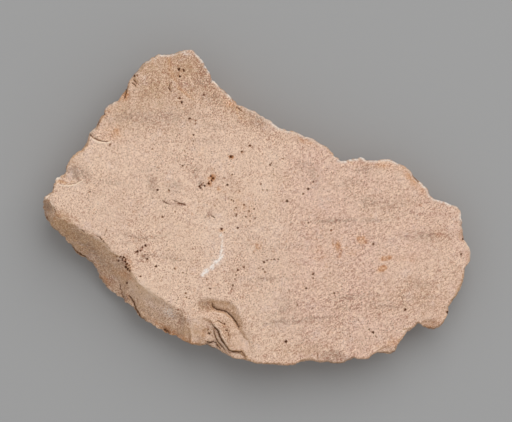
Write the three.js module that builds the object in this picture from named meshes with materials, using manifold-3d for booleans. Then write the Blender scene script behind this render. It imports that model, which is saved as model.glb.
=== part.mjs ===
import * as THREE from 'three';
import { mergeVertices } from 'three/addons/utils/BufferGeometryUtils.js';
import Module from 'manifold-3d';

const wasm = await Module();
wasm.setup();

// A flat flake of limestone, broken off on every side, whose smooth face served to write on.
// It lies on its back: X runs along it, Y across it, and Z comes out of the smooth face.

// Driving dimensions, in millimetres
const flakeLength = 150;
const flakeWidth = 110.6;
const thickEndHeight = 20.5;
const thinEndHeight = 13.5;

// The smooth face: a bedding plane that swells in two sets of shallow waves
const longWaveHeight = 0.5;
const longWaveLength = 92;
const longWavePhases = [0.8, -0.5];
const shortWaveHeight = 0.16;
const shortWaveLength = 33;
const shortWavePhase = 1.1;

// The broken wall: how far the back edge lies inside the widest line, how far its line wanders,
// over what length the notches of the edge fade out towards the back, and the widest worn rim
const undercut = 8;
const wallWander = 1.5;
const notchFade = 12;
const wornRim = 1.1;

// The belly of the wall, between the back and the widest line: its level as a share of the widest
// line's, and how much of the undercut and of the wandering it has
const bellyLevelShare = 0.5;
const bellyInsetShare = 0.32;
const bellyWanderShare = 0.6;

// The bevels of the lower left edge: how far they run out, and how far out the long one turns
// steeper and the short one shallower
const bevelRun = 26;
const longBevelTurn = 6;
const shortBevelTurn = 10.5;

// Scars of single blows: the widest and the deepest one of each kind, and the ripples in them
const faceScarReach = 14;
const faceScarDepth = 1.8;
const backScarReach = 16;
const backScarDepth = 3;
const scarRippleHeight = 0.18;
const scarRippleLength = 4;
const fewestRipples = 2;
const fewestScarSides = 8;
const bowlPower = 1.5;

// The spall at the lower edge and the bedding step on the back: one layer of the stone each
const spallDepth = 2.2;
const layerDepth = 1.15;
const backLayerDepth = 0.9;

// How finely the surfaces are divided, how far the cuts run past the stone, and how far the
// slanting ones run on past the smooth face
const edgeStep = 1.8;
const faceStep = 5;
const overrun = 2.5;
const slantOverrun = 0.4;

const fullTurn = 2 * Math.PI;

// The broken edge, anticlockwise from the left tip. Every stretch is one smooth curve that ends
// in a corner, where the next one starts. Points are shares of the length and the width.
// ridgeShare is the height of the widest line, as a share of the local thickness. undercutShare
// and rimShare say how much of the undercut and of the worn rim the stretch has.
const edgeStretches = [
  {
    name: 'left tip',
    ridgeShare: 0.42, undercutShare: 0.5, rimShare: 0.2,
    pointShares: [[0.005, 0.533], [0.0005, 0.507], [0.003, 0.485], [0.014, 0.456]],
  },
  {
    name: 'long bevel, upper half',
    ridgeShare: 0.34, undercutShare: 0.45, rimShare: 0.2,
    pointShares: [[0.018, 0.449], [0.045, 0.411], [0.062, 0.388], [0.072, 0.368], [0.09, 0.351]],
  },
  {
    name: 'long bevel, lower half',
    ridgeShare: 0.3, undercutShare: 0.5, rimShare: 0.2,
    pointShares: [[0.101, 0.345], [0.123, 0.318], [0.129, 0.295], [0.139, 0.267], [0.163, 0.231]],
  },
  {
    name: 'end of the long bevel',
    ridgeShare: 0.34, undercutShare: 0.5, rimShare: 0.2,
    pointShares: [[0.182, 0.213], [0.193, 0.2], [0.207, 0.189]],
  },
  {
    name: 'short bevel',
    ridgeShare: 0.5, undercutShare: 0.75, rimShare: 0.2,
    pointShares: [[0.214, 0.178], [0.229, 0.15], [0.25, 0.134], [0.27, 0.115], [0.29, 0.099]],
  },
  {
    name: 'below the spall',
    ridgeShare: 0.56, undercutShare: 0.8, rimShare: 0.2,
    pointShares: [
      [0.31, 0.093], [0.331, 0.079], [0.354, 0.064], [0.384, 0.064], [0.403, 0.057], [0.422, 0.042],
    ],
  },
  {
    name: 'lip of the spall',
    ridgeShare: 0.62, undercutShare: 0.8, rimShare: 0.2,
    pointShares: [[0.435, 0.031], [0.447, 0.025], [0.471, 0.021], [0.49, 0.012]],
  },
  {
    name: 'bottom, left half',
    ridgeShare: 0.8, undercutShare: 0.9, rimShare: 0.35,
    pointShares: [[0.505, 0.008], [0.54, 0.005], [0.572, 0.0005], [0.59, 0.004]],
  },
  {
    name: 'bottom, right half',
    ridgeShare: 0.78, undercutShare: 0.85, rimShare: 0.35,
    pointShares: [[0.603, 0.012], [0.626, 0.018], [0.645, 0.011], [0.7, 0.01], [0.722, 0.02]],
  },
  {
    name: 'bottom corner',
    ridgeShare: 0.74, undercutShare: 0.7, rimShare: 0.4,
    pointShares: [[0.762, 0.023], [0.776, 0.041], [0.79, 0.041], [0.81, 0.039], [0.822, 0.045]],
  },
  {
    name: 'lower notch',
    ridgeShare: 0.8, undercutShare: 0.6, rimShare: 0.5,
    pointShares: [[0.827, 0.06], [0.84, 0.081], [0.851, 0.1], [0.867, 0.12]],
  },
  {
    name: 'lower right lobe',
    ridgeShare: 0.72, undercutShare: 0.7, rimShare: 0.4,
    pointShares: [[0.88, 0.13], [0.891, 0.121], [0.914, 0.118], [0.936, 0.138], [0.947, 0.163]],
  },
  {
    name: 'lower right edge',
    ridgeShare: 0.78, undercutShare: 0.8, rimShare: 0.3,
    pointShares: [[0.95, 0.19], [0.963, 0.219], [0.981, 0.254], [0.985, 0.3]],
  },
  {
    name: 'right point',
    ridgeShare: 0.7, undercutShare: 0.7, rimShare: 0.4,
    pointShares: [[0.986, 0.309], [0.996, 0.327], [1, 0.35], [0.996, 0.378]],
  },
  {
    name: 'right edge',
    ridgeShare: 0.82, undercutShare: 0.75, rimShare: 0.55,
    pointShares: [[0.985, 0.402], [0.982, 0.43], [0.979, 0.473], [0.971, 0.504]],
  },
  {
    name: 'right shoulder',
    ridgeShare: 0.84, undercutShare: 0.7, rimShare: 0.6,
    pointShares: [[0.96, 0.514], [0.936, 0.519], [0.914, 0.531]],
  },
  {
    name: 'upper right slope',
    ridgeShare: 0.82, undercutShare: 0.65, rimShare: 0.75,
    pointShares: [[0.907, 0.541], [0.89, 0.573], [0.871, 0.6], [0.847, 0.63]],
  },
  {
    name: 'upper right ledge',
    ridgeShare: 0.78, undercutShare: 0.6, rimShare: 0.8,
    pointShares: [[0.828, 0.642], [0.8, 0.652], [0.765, 0.652], [0.745, 0.661], [0.722, 0.655]],
  },
  {
    name: 'upper hollow',
    ridgeShare: 0.86, undercutShare: 0.8, rimShare: 0.4,
    pointShares: [[0.711, 0.651], [0.698, 0.651], [0.68, 0.669], [0.664, 0.693]],
  },
  {
    name: 'upper slope, right half',
    ridgeShare: 0.86, undercutShare: 0.9, rimShare: 0.5,
    pointShares: [[0.652, 0.702], [0.63, 0.718], [0.6, 0.735], [0.582, 0.746]],
  },
  {
    name: 'upper slope, middle',
    ridgeShare: 0.84, undercutShare: 0.85, rimShare: 0.55,
    pointShares: [[0.562, 0.751], [0.541, 0.763], [0.53, 0.778], [0.502, 0.801]],
  },
  {
    name: 'upper slope, left half',
    ridgeShare: 0.84, undercutShare: 0.7, rimShare: 0.6,
    pointShares: [[0.495, 0.808], [0.468, 0.82], [0.455, 0.831], [0.432, 0.864], [0.41, 0.893]],
  },
  {
    name: 'top lobe, right side',
    ridgeShare: 0.78, undercutShare: 0.6, rimShare: 0.6,
    pointShares: [[0.4, 0.908], [0.387, 0.937], [0.37, 0.971], [0.357, 0.985]],
  },
  {
    name: 'top lobe, crown',
    ridgeShare: 0.74, undercutShare: 0.65, rimShare: 0.7,
    pointShares: [[0.347, 0.999], [0.333, 0.998], [0.31, 0.989], [0.287, 0.985]],
  },
  {
    name: 'top lobe, left side',
    ridgeShare: 0.8, undercutShare: 0.75, rimShare: 0.6,
    pointShares: [[0.273, 0.987], [0.256, 0.974], [0.235, 0.957], [0.217, 0.93]],
  },
  {
    name: 'upper left notch',
    ridgeShare: 0.84, undercutShare: 0.6, rimShare: 0.3,
    pointShares: [[0.211, 0.915], [0.202, 0.901], [0.198, 0.878], [0.189, 0.861]],
  },
  {
    name: 'upper left edge',
    ridgeShare: 0.82, undercutShare: 0.8, rimShare: 0.6,
    pointShares: [[0.177, 0.847], [0.162, 0.833], [0.149, 0.819], [0.142, 0.793], [0.129, 0.765]],
  },
  {
    name: 'left shoulder',
    ridgeShare: 0.8, undercutShare: 0.85, rimShare: 0.6,
    pointShares: [[0.126, 0.754], [0.112, 0.74], [0.107, 0.722], [0.1, 0.697]],
  },
  {
    name: 'left edge',
    ridgeShare: 0.78, undercutShare: 0.7, rimShare: 0.5,
    pointShares: [[0.091, 0.687], [0.075, 0.67], [0.06, 0.646], [0.055, 0.62]],
  },
  {
    name: 'last edge before the tip',
    ridgeShare: 0.66, undercutShare: 0.55, rimShare: 0.4,
    pointShares: [[0.052, 0.605], [0.035, 0.595], [0.027, 0.573], [0.02, 0.552]],
  },
];

// The middle that every point of the edge can be seen from
const middleShares = [0.44, 0.49];

// The bevels of the lower left edge, from the tip on. Each has the upper edge that it shares with
// the smooth face, and how much it falls on every length run, above and below its turn.
// The bevels of each group fall away in lines that spread from one place across the stone.
const bevelGroups = [
  {
    turn: longBevelTurn,
    fanShares: [0.54, 1],
    bevels: [
      {
        name: 'end facet',
        fallShares: [1.35, 1.5],
        pointShares: [[0.004, 0.536], [0.018, 0.524], [0.028, 0.506], [0.034, 0.484]],
      },
      {
        name: 'long bevel, upper half',
        fallShares: [1.1, 1.35],
        pointShares: [
          [0.037, 0.476], [0.05, 0.461], [0.072, 0.449], [0.092, 0.433], [0.113, 0.418],
        ],
      },
      {
        name: 'long bevel, lower half',
        fallShares: [1.12, 1.4],
        pointShares: [[0.122, 0.414], [0.147, 0.391], [0.168, 0.361], [0.186, 0.347]],
      },
    ],
  },
  {
    turn: shortBevelTurn,
    fanShares: [0.332, 1.1],
    bevels: [
      {
        name: 'end of the long bevel',
        fallShares: [1.15, 1.3],
        pointShares: [[0.191, 0.34], [0.197, 0.328], [0.203, 0.315]],
      },
      {
        name: 'short bevel',
        fallShares: [0.8, 0.5],
        pointShares: [
          [0.206, 0.31], [0.215, 0.289], [0.231, 0.262], [0.26, 0.236], [0.29, 0.207],
          [0.318, 0.184],
        ],
      },
      {
        name: 'end of the bevels',
        fallShares: [0.42, 0.34],
        pointShares: [[0.33, 0.174], [0.344, 0.157]],
      },
    ],
  },
];

// Scars on the edge of the face. Each row has the place of the blow as shares of the length and
// the width, then the scar's reach, its depth and the step where it ends, as shares of the
// largest reach, the largest depth and the scar's own depth.
const faceScarShares = [
  [0.156, 0.829, 0.92, 0.55, 0.55],
  [0.06, 0.65, 0.59, 0.55, 0.55],
  [0.178, 0.868, 0.2, 0.5, 0.7],
  [0.196, 0.893, 0.27, 0.45, 0.6],
  [0.398, 0.968, 1.1, 0.8, 0],
  [0.484, 0.818, 0.36, 0.3, 0.25],
  [0.532, 0.786, 0.28, 0.3, 0.3],
  [0.618, 0.731, 0.25, 0.35, 0.4],
  [0.738, 0.666, 0.26, 0.4, 0.3],
  [0.815, 0.654, 0.24, 0.35, 0.3],
  [0.871, 0.606, 0.17, 0.4, 0.6],
  [0.986, 0.412, 0.16, 0.4, 0.5],
  [0.904, 0.112, 0.3, 0.85, 0.12],
  [0.85, 0.09, 0.22, 0.4, 0.3],
  [0.803, 0.032, 0.24, 0.6, 0.2],
  [0.678, 0.003, 0.37, 0.9, 0.1],
];

// The spall: the crease at the foot of its brow and the brow's own edge on the smooth face, both
// from the platform on the left round to the lip, with how much of the spall's depth is left, and
// where the brow is divided on its way up
const spallCreaseShares = [
  [0.34, 0.13], [0.366, 0.181], [0.388, 0.192], [0.402, 0.182], [0.42, 0.176], [0.434, 0.172],
  [0.444, 0.16], [0.452, 0.145], [0.458, 0.129], [0.463, 0.108], [0.473, 0.08], [0.484, 0.045],
  [0.488, -0.04],
];
const spallBrowShares = [
  [0.328, 0.17], [0.352, 0.207], [0.382, 0.219], [0.406, 0.213], [0.426, 0.207], [0.443, 0.201],
  [0.454, 0.184], [0.461, 0.161], [0.467, 0.138], [0.472, 0.113], [0.484, 0.084], [0.497, 0.047],
  [0.502, -0.04],
];
const spallDepthShares = [0.15, 0.25, 0.6, 1, 1, 0.97, 0.93, 0.86, 0.72, 0.5, 0.36, 0.28, 0.24];
const browRiseShares = [0, 0.2, 0.4, 0.6, 0.8, 1];

// The lower layers of the spall, each from the place where it starts down to the stone's edge.
// Every point has its place, and how much of the spall's depth lies above it.
const spallHingeShares = [0.4, 0.14];
const spallFallShare = 0.075;
const spallLayers = [
  {
    name: 'first step',
    levelPointShares: [
      [0.3, -0.04, 0.3], [0.484, -0.04, 0.3], [0.479, 0.022, 0.36], [0.471, 0.037, 0.45],
      [0.462, 0.043, 0.6], [0.447, 0.046, 0.8], [0.437, 0.052, 0.9], [0.428, 0.066, 1],
      [0.419, 0.084, 1], [0.413, 0.1, 1], [0.411, 0.116, 0.95], [0.4, 0.127, 0.85],
      [0.392, 0.148, 0.72], [0.36, 0.16, 0.28], [0.33, 0.12, 0.15],
    ],
  },
  {
    name: 'second step',
    levelPointShares: [
      [0.3, -0.04, 0.3], [0.446, -0.04, 0.9], [0.436, 0.033, 0.9], [0.422, 0.056, 1],
      [0.413, 0.07, 1], [0.406, 0.084, 1], [0.401, 0.1, 0.92], [0.399, 0.12, 0.85],
      [0.392, 0.14, 0.74], [0.36, 0.145, 0.28], [0.33, 0.115, 0.15],
    ],
  },
  {
    name: 'third step',
    levelPointShares: [
      [0.37, -0.04, 0.7], [0.428, -0.04, 1], [0.424, 0.035, 1], [0.415, 0.057, 1],
      [0.408, 0.069, 1], [0.4, 0.078, 0.9], [0.392, 0.075, 0.85], [0.384, 0.081, 0.75],
      [0.377, 0.06, 0.7],
    ],
  },
];

// The bedding step across one corner of the back
const backLayerShares = [
  [0.5, 0.86], [0.512, 0.77], [0.545, 0.71], [0.538, 0.64], [0.6, 0.56], [0.68, 0.548],
  [0.735, 0.47], [0.81, 0.457], [0.88, 0.375], [1.05, 0.36],
];
const backLayerCornerShares = [1.1, 1.1];

// The scars struck from the back edge: how many there are, how far they lean out over the wall by
// turns, how unevenly they are spaced, how small the smallest one is, how far inside the wall the
// blow fell as a share of the undercut there, and the step where a scar ends
const backScarCount = 17;
const backScarLeanShares = [0.45, 1.6];
const backScarScatterShare = 0.6;
const smallestBackScarShare = 0.5;
const backScarInsetShare = 0.8;
const backScarStepShare = 0.1;
const goldenShare = (Math.sqrt(5) - 1) / 2;

// The lobes by which the wall wanders round the stone, and where they start at each level
const wanderLobes = [7, 16, 31];
const wanderShares = [0.45, 0.33, 0.22];
const backWanderPhase = 1.3;
const bellyWanderPhase = 2.9;

const upright = new THREE.Vector3(0, 0, 1);

// Places on the stone from shares of its length and width
function placeAt([xShare, yShare]) {
  return new THREE.Vector3((xShare - 0.5) * flakeLength, (yShare - 0.5) * flakeWidth, 0);
}

// The height of the smooth face above the back
function faceHeight(x, y) {
  const lean = THREE.MathUtils.lerp(thickEndHeight, thinEndHeight, x / flakeLength + 0.5);
  const along = fullTurn * x;
  const across = fullTurn * y;
  const longWave = Math.sin(along / longWaveLength + longWavePhases[0])
    * Math.cos(across / longWaveLength + longWavePhases[1]);
  const shortWave = Math.sin(along / shortWaveLength - across / longWaveLength)
    * Math.cos(across / shortWaveLength + shortWavePhase);
  return lean + longWaveHeight * longWave + shortWaveHeight * shortWave;
}

// A place at a depth below the smooth face
function placeUnderFace({ x, y }, depth) {
  return new THREE.Vector3(x, y, faceHeight(x, y) - depth);
}

// A smooth curve through places given as shares, and points spaced evenly along it
function curveThrough(pointShares) {
  return new THREE.CatmullRomCurve3(pointShares.map(placeAt), false, 'centripetal');
}

function spacedAlong(pointShares) {
  const curve = curveThrough(pointShares);
  return curve.getSpacedPoints(Math.ceil(curve.getLength() / edgeStep));
}

// A closed geometry as a solid that can be joined and cut
function toSolid(geometry) {
  const bare = geometry.clone();
  bare.deleteAttribute('normal');
  bare.deleteAttribute('uv');
  const merged = mergeVertices(bare);
  return new wasm.Manifold(new wasm.Mesh({
    numProp: 3,
    vertProperties: new Float32Array(merged.attributes.position.array),
    triVerts: new Uint32Array(merged.index.array),
  }));
}

function toGeometry(solid) {
  const { vertProperties, triVerts } = solid.getMesh();
  const geometry = new THREE.BufferGeometry();
  geometry.setAttribute('position', new THREE.BufferAttribute(vertProperties, 3));
  geometry.setIndex(new THREE.BufferAttribute(triVerts, 1));
  geometry.computeVertexNormals();
  return geometry;
}

// The triangles that close a ring, which may lie in any plane
function capTriangles(ring) {
  const normal = new THREE.Vector3();
  ring.forEach((point, i) => normal.add(point.clone().cross(ring[(i + 1) % ring.length])));
  const turn = new THREE.Quaternion().setFromUnitVectors(normal.normalize(), upright);
  const turned = ring.map((point) => point.clone().applyQuaternion(turn));
  const flat = turned.map((point) => new THREE.Vector2(point.x, point.y));
  return THREE.ShapeUtils.triangulateShape(flat, []);
}

// A closed body through rings of equally many points, which all run anticlockwise as seen from
// the last ring
function loft(rings) {
  const count = rings[0].length;
  const positions = rings.flat().flatMap((point) => [point.x, point.y, point.z]);
  const faces = [];
  for (let r = 0; r + 1 < rings.length; r++) {
    for (let i = 0; i < count; i++) {
      const next = (i + 1) % count;
      const low = r * count;
      const high = low + count;
      faces.push([low + i, low + next, high + next], [low + i, high + next, high + i]);
    }
  }
  const last = (rings.length - 1) * count;
  capTriangles(rings[0]).forEach(([a, b, c]) => faces.push([c, b, a]));
  capTriangles(rings[rings.length - 1]).forEach(([a, b, c]) => {
    faces.push([last + a, last + b, last + c]);
  });
  const geometry = new THREE.BufferGeometry();
  geometry.setAttribute('position', new THREE.Float32BufferAttribute(positions, 3));
  geometry.setIndex(faces.flat());
  return geometry;
}

// Evenly spaced samples of the whole broken edge, each with the stretch that it lies on
function sampleEdge() {
  return edgeStretches.flatMap((stretch, index) => {
    const next = edgeStretches[(index + 1) % edgeStretches.length];
    const points = spacedAlong([...stretch.pointShares, next.pointShares[0]]);
    return points.slice(0, -1).map((point) => ({ point, stretch }));
  });
}

// The samples from some places before one sample to as many after it, round the closed edge
function neighbours(samples, index, reach) {
  const offsets = Array.from({ length: 2 * reach + 1 }, (_, i) => i - reach);
  return offsets.map((offset) => samples.at((index + offset) % samples.length));
}

// A wall share at one sample, blended with its neighbours'
function blendedShare(samples, index, key) {
  const near = neighbours(samples, index, 2);
  return near.reduce((sum, { stretch }) => sum + stretch[key], 0) / near.length;
}

// The place of one sample when the notches of the edge have faded over a length
function fadedPlace(samples, index, fade) {
  const near = neighbours(samples, index, Math.round(0.5 * fade / edgeStep));
  const sum = near.reduce((total, { point }) => total.add(point), new THREE.Vector3());
  return sum.divideScalar(near.length);
}

// The way straight out of the wall at one sample, level with the ground
function outOfWall(samples, index, fade) {
  const step = Math.round(fade / edgeStep);
  const before = fadedPlace(samples, index - step, fade);
  const after = fadedPlace(samples, index + step, fade);
  return after.sub(before).cross(upright).normalize();
}

// How far the broken wall wanders at a share of the way round, from minus one to one
function wander(roundShare, phase) {
  const lobes = wanderLobes.map((count, i) => {
    return wanderShares[i] * Math.sin(fullTurn * count * roundShare + phase * (i + 1));
  });
  return lobes.reduce((sum, lobe) => sum + lobe, 0);
}

// The wall at every sample of the edge: its widest point, its place with the notches half and
// fully faded, the ways in and out, its insets and its levels
function wallStations() {
  const samples = sampleEdge();
  const middle = placeAt(middleShares);
  return samples.map(({ point }, index) => ({
    point,
    halfFaded: fadedPlace(samples, index, 0.5 * notchFade),
    faded: fadedPlace(samples, index, notchFade),
    inwards: middle.clone().sub(point).normalize(),
    outwards: outOfWall(samples, index, notchFade),
    roundShare: index / samples.length,
    rim: wornRim * blendedShare(samples, index, 'rimShare'),
    backInset: undercut * blendedShare(samples, index, 'undercutShare'),
    faceLevel: faceHeight(point.x, point.y),
    ridgeLevel: faceHeight(point.x, point.y) * blendedShare(samples, index, 'ridgeShare'),
  }));
}

// The stone before its scars: a flat back, an undercut wall that wanders, the widest line, and
// the worn rim, which runs on past the smooth face
function stoneBlank(stations) {
  const ring = (placeOf) => stations.map((station) => {
    const { place, inset, level } = placeOf(station);
    return place.clone().addScaledVector(station.inwards, inset).setZ(level);
  });
  const backRing = ring(({ faded, backInset, roundShare }) => ({
    place: faded,
    inset: backInset + wallWander * wander(roundShare, backWanderPhase),
    level: 0,
  }));
  const bellyRing = ring(({ halfFaded, backInset, roundShare, ridgeLevel }) => ({
    place: halfFaded,
    inset: bellyInsetShare * backInset
      + bellyWanderShare * wallWander * (1 + wander(roundShare, bellyWanderPhase)),
    level: bellyLevelShare * ridgeLevel,
  }));
  const widestRing = ring(({ point, ridgeLevel }) => ({
    place: point,
    inset: 0,
    level: ridgeLevel,
  }));
  const topRing = ring(({ point, rim, ridgeLevel, faceLevel }) => ({
    place: point,
    inset: rim * (faceLevel + overrun - ridgeLevel) / (faceLevel - ridgeLevel),
    level: faceLevel + overrun,
  }));
  return toSolid(loft([backRing, bellyRing, widestRing, topRing]));
}

// What lies above the smooth face, to be cut off
function aboveFace() {
  const length = flakeLength + 2 * overrun;
  const width = flakeWidth + 2 * overrun;
  const height = thickEndHeight + thinEndHeight;
  const steps = [length, width].map((side) => Math.ceil(side / faceStep));
  const block = new THREE.BoxGeometry(length, width, height, steps[0], steps[1], 1);
  const places = block.attributes.position;
  for (let i = 0; i < places.count; i++) {
    const isUnderside = places.getZ(i) < 0;
    const level = faceHeight(places.getX(i), places.getY(i));
    places.setZ(i, isUnderside ? level : level + height);
  }
  return toSolid(block);
}

// One section of the bevels' cut at a place on their upper edge: it starts above the smooth
// face, goes out to its far side and comes back along the bevel, by its turn
function bevelSection(place, { turn, fanShares }, [upperFall, lowerFall]) {
  const outwards = place.clone().sub(placeAt(fanShares)).normalize();
  const at = (run, rise) => placeUnderFace(place, 0).addScaledVector(outwards, run).setZ(
    faceHeight(place.x, place.y) + rise,
  );
  const turnFall = turn * upperFall;
  const fullFall = turnFall + (bevelRun - turn) * lowerFall;
  return [
    at(-slantOverrun / upperFall, slantOverrun),
    at(bevelRun, overrun),
    at(bevelRun, -fullFall),
    at(turn, -turnFall),
  ];
}

// All the bevels in one cut, with a low step wherever one gives way to the next
function bevelCut() {
  const sections = bevelGroups.flatMap((group) => {
    return group.bevels.flatMap(({ pointShares, fallShares }) => {
      return spacedAlong(pointShares).map((place) => bevelSection(place, group, fallShares));
    });
  });
  return toSolid(loft(sections));
}

// The scar of one blow, about the Z axis through the point of the blow: a shallow bowl that ends
// in a low step or fades out. Faint ripples, each one trough and one crest, spread round that
// point and die down again before the end.
function scarCutter(reach, depth, stepShare) {
  const rings = 2 * Math.max(fewestRipples, Math.ceil(reach / scarRippleLength));
  const profile = [];
  for (let i = 0; i <= rings; i++) {
    const share = i / rings;
    const fade = (1 - share ** 2) ** bowlPower;
    const bowl = depth * (stepShare + (1 - stepShare) * fade);
    const ripple = scarRippleHeight * share * fade * (-1) ** i;
    profile.push(new THREE.Vector2(share * reach, ripple - bowl));
  }
  profile.push(new THREE.Vector2(reach + depth * stepShare, reach));
  profile.push(new THREE.Vector2(0, reach));
  const sides = fewestScarSides + 2 * rings;
  return new THREE.LatheGeometry(profile, sides).rotateX(Math.PI / 2);
}

// Turns a cutter made about the Z axis so that the axis points along a direction, and moves it
function placeCutter(geometry, place, direction) {
  const turn = new THREE.Quaternion().setFromUnitVectors(upright, direction.clone().normalize());
  const matrix = new THREE.Matrix4().compose(place, turn, new THREE.Vector3(1, 1, 1));
  return toSolid(geometry.clone().applyMatrix4(matrix));
}

// The scars on the edge of the smooth face
function faceScars() {
  return faceScarShares.map(([xShare, yShare, reachShare, depthShare, stepShare]) => {
    const place = placeUnderFace(placeAt([xShare, yShare]), 0);
    const cutter = scarCutter(faceScarReach * reachShare, faceScarDepth * depthShare, stepShare);
    return placeCutter(cutter, place, upright);
  });
}

// A share between 0 and 1 that jumps about from one number to the next, the same on every run
function scatterShare(number) {
  return (number * goldenShare) % 1;
}

// The scars struck from the back edge, by turns over the back and over the wall
function backScars(stations) {
  return Array.from({ length: backScarCount }, (_, i) => {
    const roundShare = (i + backScarScatterShare * scatterShare(i + 1)) / backScarCount;
    const station = stations[Math.floor(roundShare * stations.length)];
    const { faded, outwards, backInset } = station;
    const sizeShare = THREE.MathUtils.lerp(smallestBackScarShare, 1, scatterShare(i + 4));
    const reach = backScarReach * sizeShare;
    const depth = backScarDepth * sizeShare;
    const place = faded.clone().addScaledVector(outwards, -backScarInsetShare * backInset);
    const lean = backScarLeanShares[i % backScarLeanShares.length];
    const outAndDown = outwards.clone().multiplyScalar(lean).setZ(-1);
    return placeCutter(scarCutter(reach, depth, backScarStepShare), place, outAndDown);
  });
}

// The floor of the spall and the brow above it, out to the lip and the platform
function spallFloor() {
  const depthAt = (i) => spallDepth * spallDepthShares[i];
  const centre = placeAt(spallHingeShares);
  const crease = spallCreaseShares.map(placeAt);
  const brow = spallBrowShares.map(placeAt);
  const floor = crease.map((place, i) => placeUnderFace(place, depthAt(i)));
  const roof = brow.map((place, i) => {
    const rise = (depthAt(i) + slantOverrun) / depthAt(i);
    return placeUnderFace(crease[i].clone().lerp(place, rise), -slantOverrun);
  });
  const end = centre.clone().setY(crease[crease.length - 1].y);
  const floorEnd = placeUnderFace(end, spallDepth);
  const roofEnd = placeUnderFace(end, -slantOverrun);
  const smooth = (ring) => new THREE.CatmullRomCurve3(ring, false, 'centripetal');
  const steps = 3 * (crease.length - 1);
  const floorRing = [...smooth(floor).getPoints(steps), floorEnd].reverse();
  const roofRing = [...smooth(roof).getPoints(steps), roofEnd].reverse();
  const rings = browRiseShares.map((share) => {
    return floorRing.map((place, i) => place.clone().lerp(roofRing[i], share));
  });
  return toSolid(loft(rings));
}

// The lower layers of the spall: each sinks from the place where it starts to the stone's edge
function spallSteps() {
  const hinge = placeAt(spallHingeShares);
  const fallLength = spallFallShare * flakeWidth;
  return spallLayers.map(({ levelPointShares }, index) => {
    const outline = levelPointShares.map(placeAt);
    const floor = outline.map((place, i) => {
      const fallen = THREE.MathUtils.clamp((hinge.y - place.y) / fallLength, 0, 1);
      const level = spallDepth * levelPointShares[i][2];
      return placeUnderFace(place, level + layerDepth * (index + 1) * fallen);
    });
    const roof = outline.map((place) => placeUnderFace(place, -overrun));
    return toSolid(loft([floor, roof]));
  });
}

// The bedding step on the back
function backStep() {
  const outline = [...spacedAlong(backLayerShares), placeAt(backLayerCornerShares)];
  const under = outline.map((place) => place.clone().setZ(-overrun));
  const step = outline.map((place) => place.clone().setZ(backLayerDepth));
  return toSolid(loft([under, step]));
}

function limestoneMaterial() {
  return new THREE.MeshStandardMaterial({ color: 0xcbab94, roughness: 0.93, metalness: 0 });
}

// The stone is one piece: the blank, less everything that was struck or split off it
function limestoneFlake() {
  const stations = wallStations();
  const cuts = [
    aboveFace(),
    bevelCut(),
    ...faceScars(),
    ...backScars(stations),
    spallFloor(),
    ...spallSteps(),
    backStep(),
  ];
  const stone = cuts.reduce((solid, cut) => solid.subtract(cut), stoneBlank(stations));
  const mesh = new THREE.Mesh(toGeometry(stone), limestoneMaterial());
  mesh.name = 'limestone_flake';
  return mesh;
}

const ostracon = new THREE.Group();
ostracon.add(limestoneFlake());

export default ostracon;
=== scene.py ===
import functools
import itertools
import math

import bmesh
import bpy
import numpy as np
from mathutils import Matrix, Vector
from mathutils.kdtree import KDTree


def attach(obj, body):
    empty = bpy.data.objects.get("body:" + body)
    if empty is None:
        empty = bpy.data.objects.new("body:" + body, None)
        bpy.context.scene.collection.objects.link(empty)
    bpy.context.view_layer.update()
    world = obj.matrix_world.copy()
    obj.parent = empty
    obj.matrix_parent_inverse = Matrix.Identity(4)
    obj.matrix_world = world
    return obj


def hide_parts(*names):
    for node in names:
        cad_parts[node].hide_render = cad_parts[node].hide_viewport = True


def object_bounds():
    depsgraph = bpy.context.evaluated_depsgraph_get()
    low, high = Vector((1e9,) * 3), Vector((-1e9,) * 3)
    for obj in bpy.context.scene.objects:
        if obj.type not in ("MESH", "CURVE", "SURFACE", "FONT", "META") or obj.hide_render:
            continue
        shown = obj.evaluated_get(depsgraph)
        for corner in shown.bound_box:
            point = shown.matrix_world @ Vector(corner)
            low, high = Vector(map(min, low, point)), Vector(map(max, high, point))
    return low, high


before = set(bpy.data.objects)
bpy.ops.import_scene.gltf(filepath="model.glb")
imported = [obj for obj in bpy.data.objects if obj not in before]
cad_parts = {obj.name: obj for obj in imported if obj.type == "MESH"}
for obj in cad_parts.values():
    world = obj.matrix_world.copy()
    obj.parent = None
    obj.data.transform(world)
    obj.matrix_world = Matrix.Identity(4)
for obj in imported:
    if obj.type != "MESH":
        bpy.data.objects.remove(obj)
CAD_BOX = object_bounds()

# Everything below is in millimetres, apart from what Blender itself is given, which is in metres.
METRES = 0.001

# The photograph: where the stone's ends lie in it, in pixels, and the size of a pixel on the stone
PHOTO_WIDTH_PIXELS = 512
PHOTO_MIDDLE_PIXEL = (256, 211)
STONE_LEFT_PIXEL = 42.5
STONE_RIGHT_PIXEL = 471
STONE_BOTTOM_PIXEL = 366
LOWEST, HIGHEST = (np.array(corner) / METRES for corner in CAD_BOX)
PIXEL = (HIGHEST[0] - LOWEST[0]) / (STONE_RIGHT_PIXEL - STONE_LEFT_PIXEL)

# The mesh: the size of the stone's faces, and how often it is smoothed
FACE_SIZE = 0.4
SMOOTHINGS = 1

# Sharp edges are drawn out again: by which share, how often the shape is smoothed that they are
# measured from, and the heights above it where this starts and is full
EDGE_CRISPNESS = 0.9
EDGE_SMOOTHINGS = 8
EDGE_HEIGHTS = (0.1, 0.42)

# The faces beside the fine marks are halved once for each margin, in pixels
MARK_MARGINS = (2.6, 1.2)

# The outline as seen from above: how many places are taken round it, how many of them its
# direction is taken over, and the width of the band beside it in which its top is looked for
OUTLINE_PLACES = 1000
OUTLINE_STRIDE = 6
OUTLINE_BAND = 1.2

# The noise: the cells after which its lattice repeats, and the factor that brings it to about 1
LATTICE_CELLS = 64
NOISE_GAIN = 1.5

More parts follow.
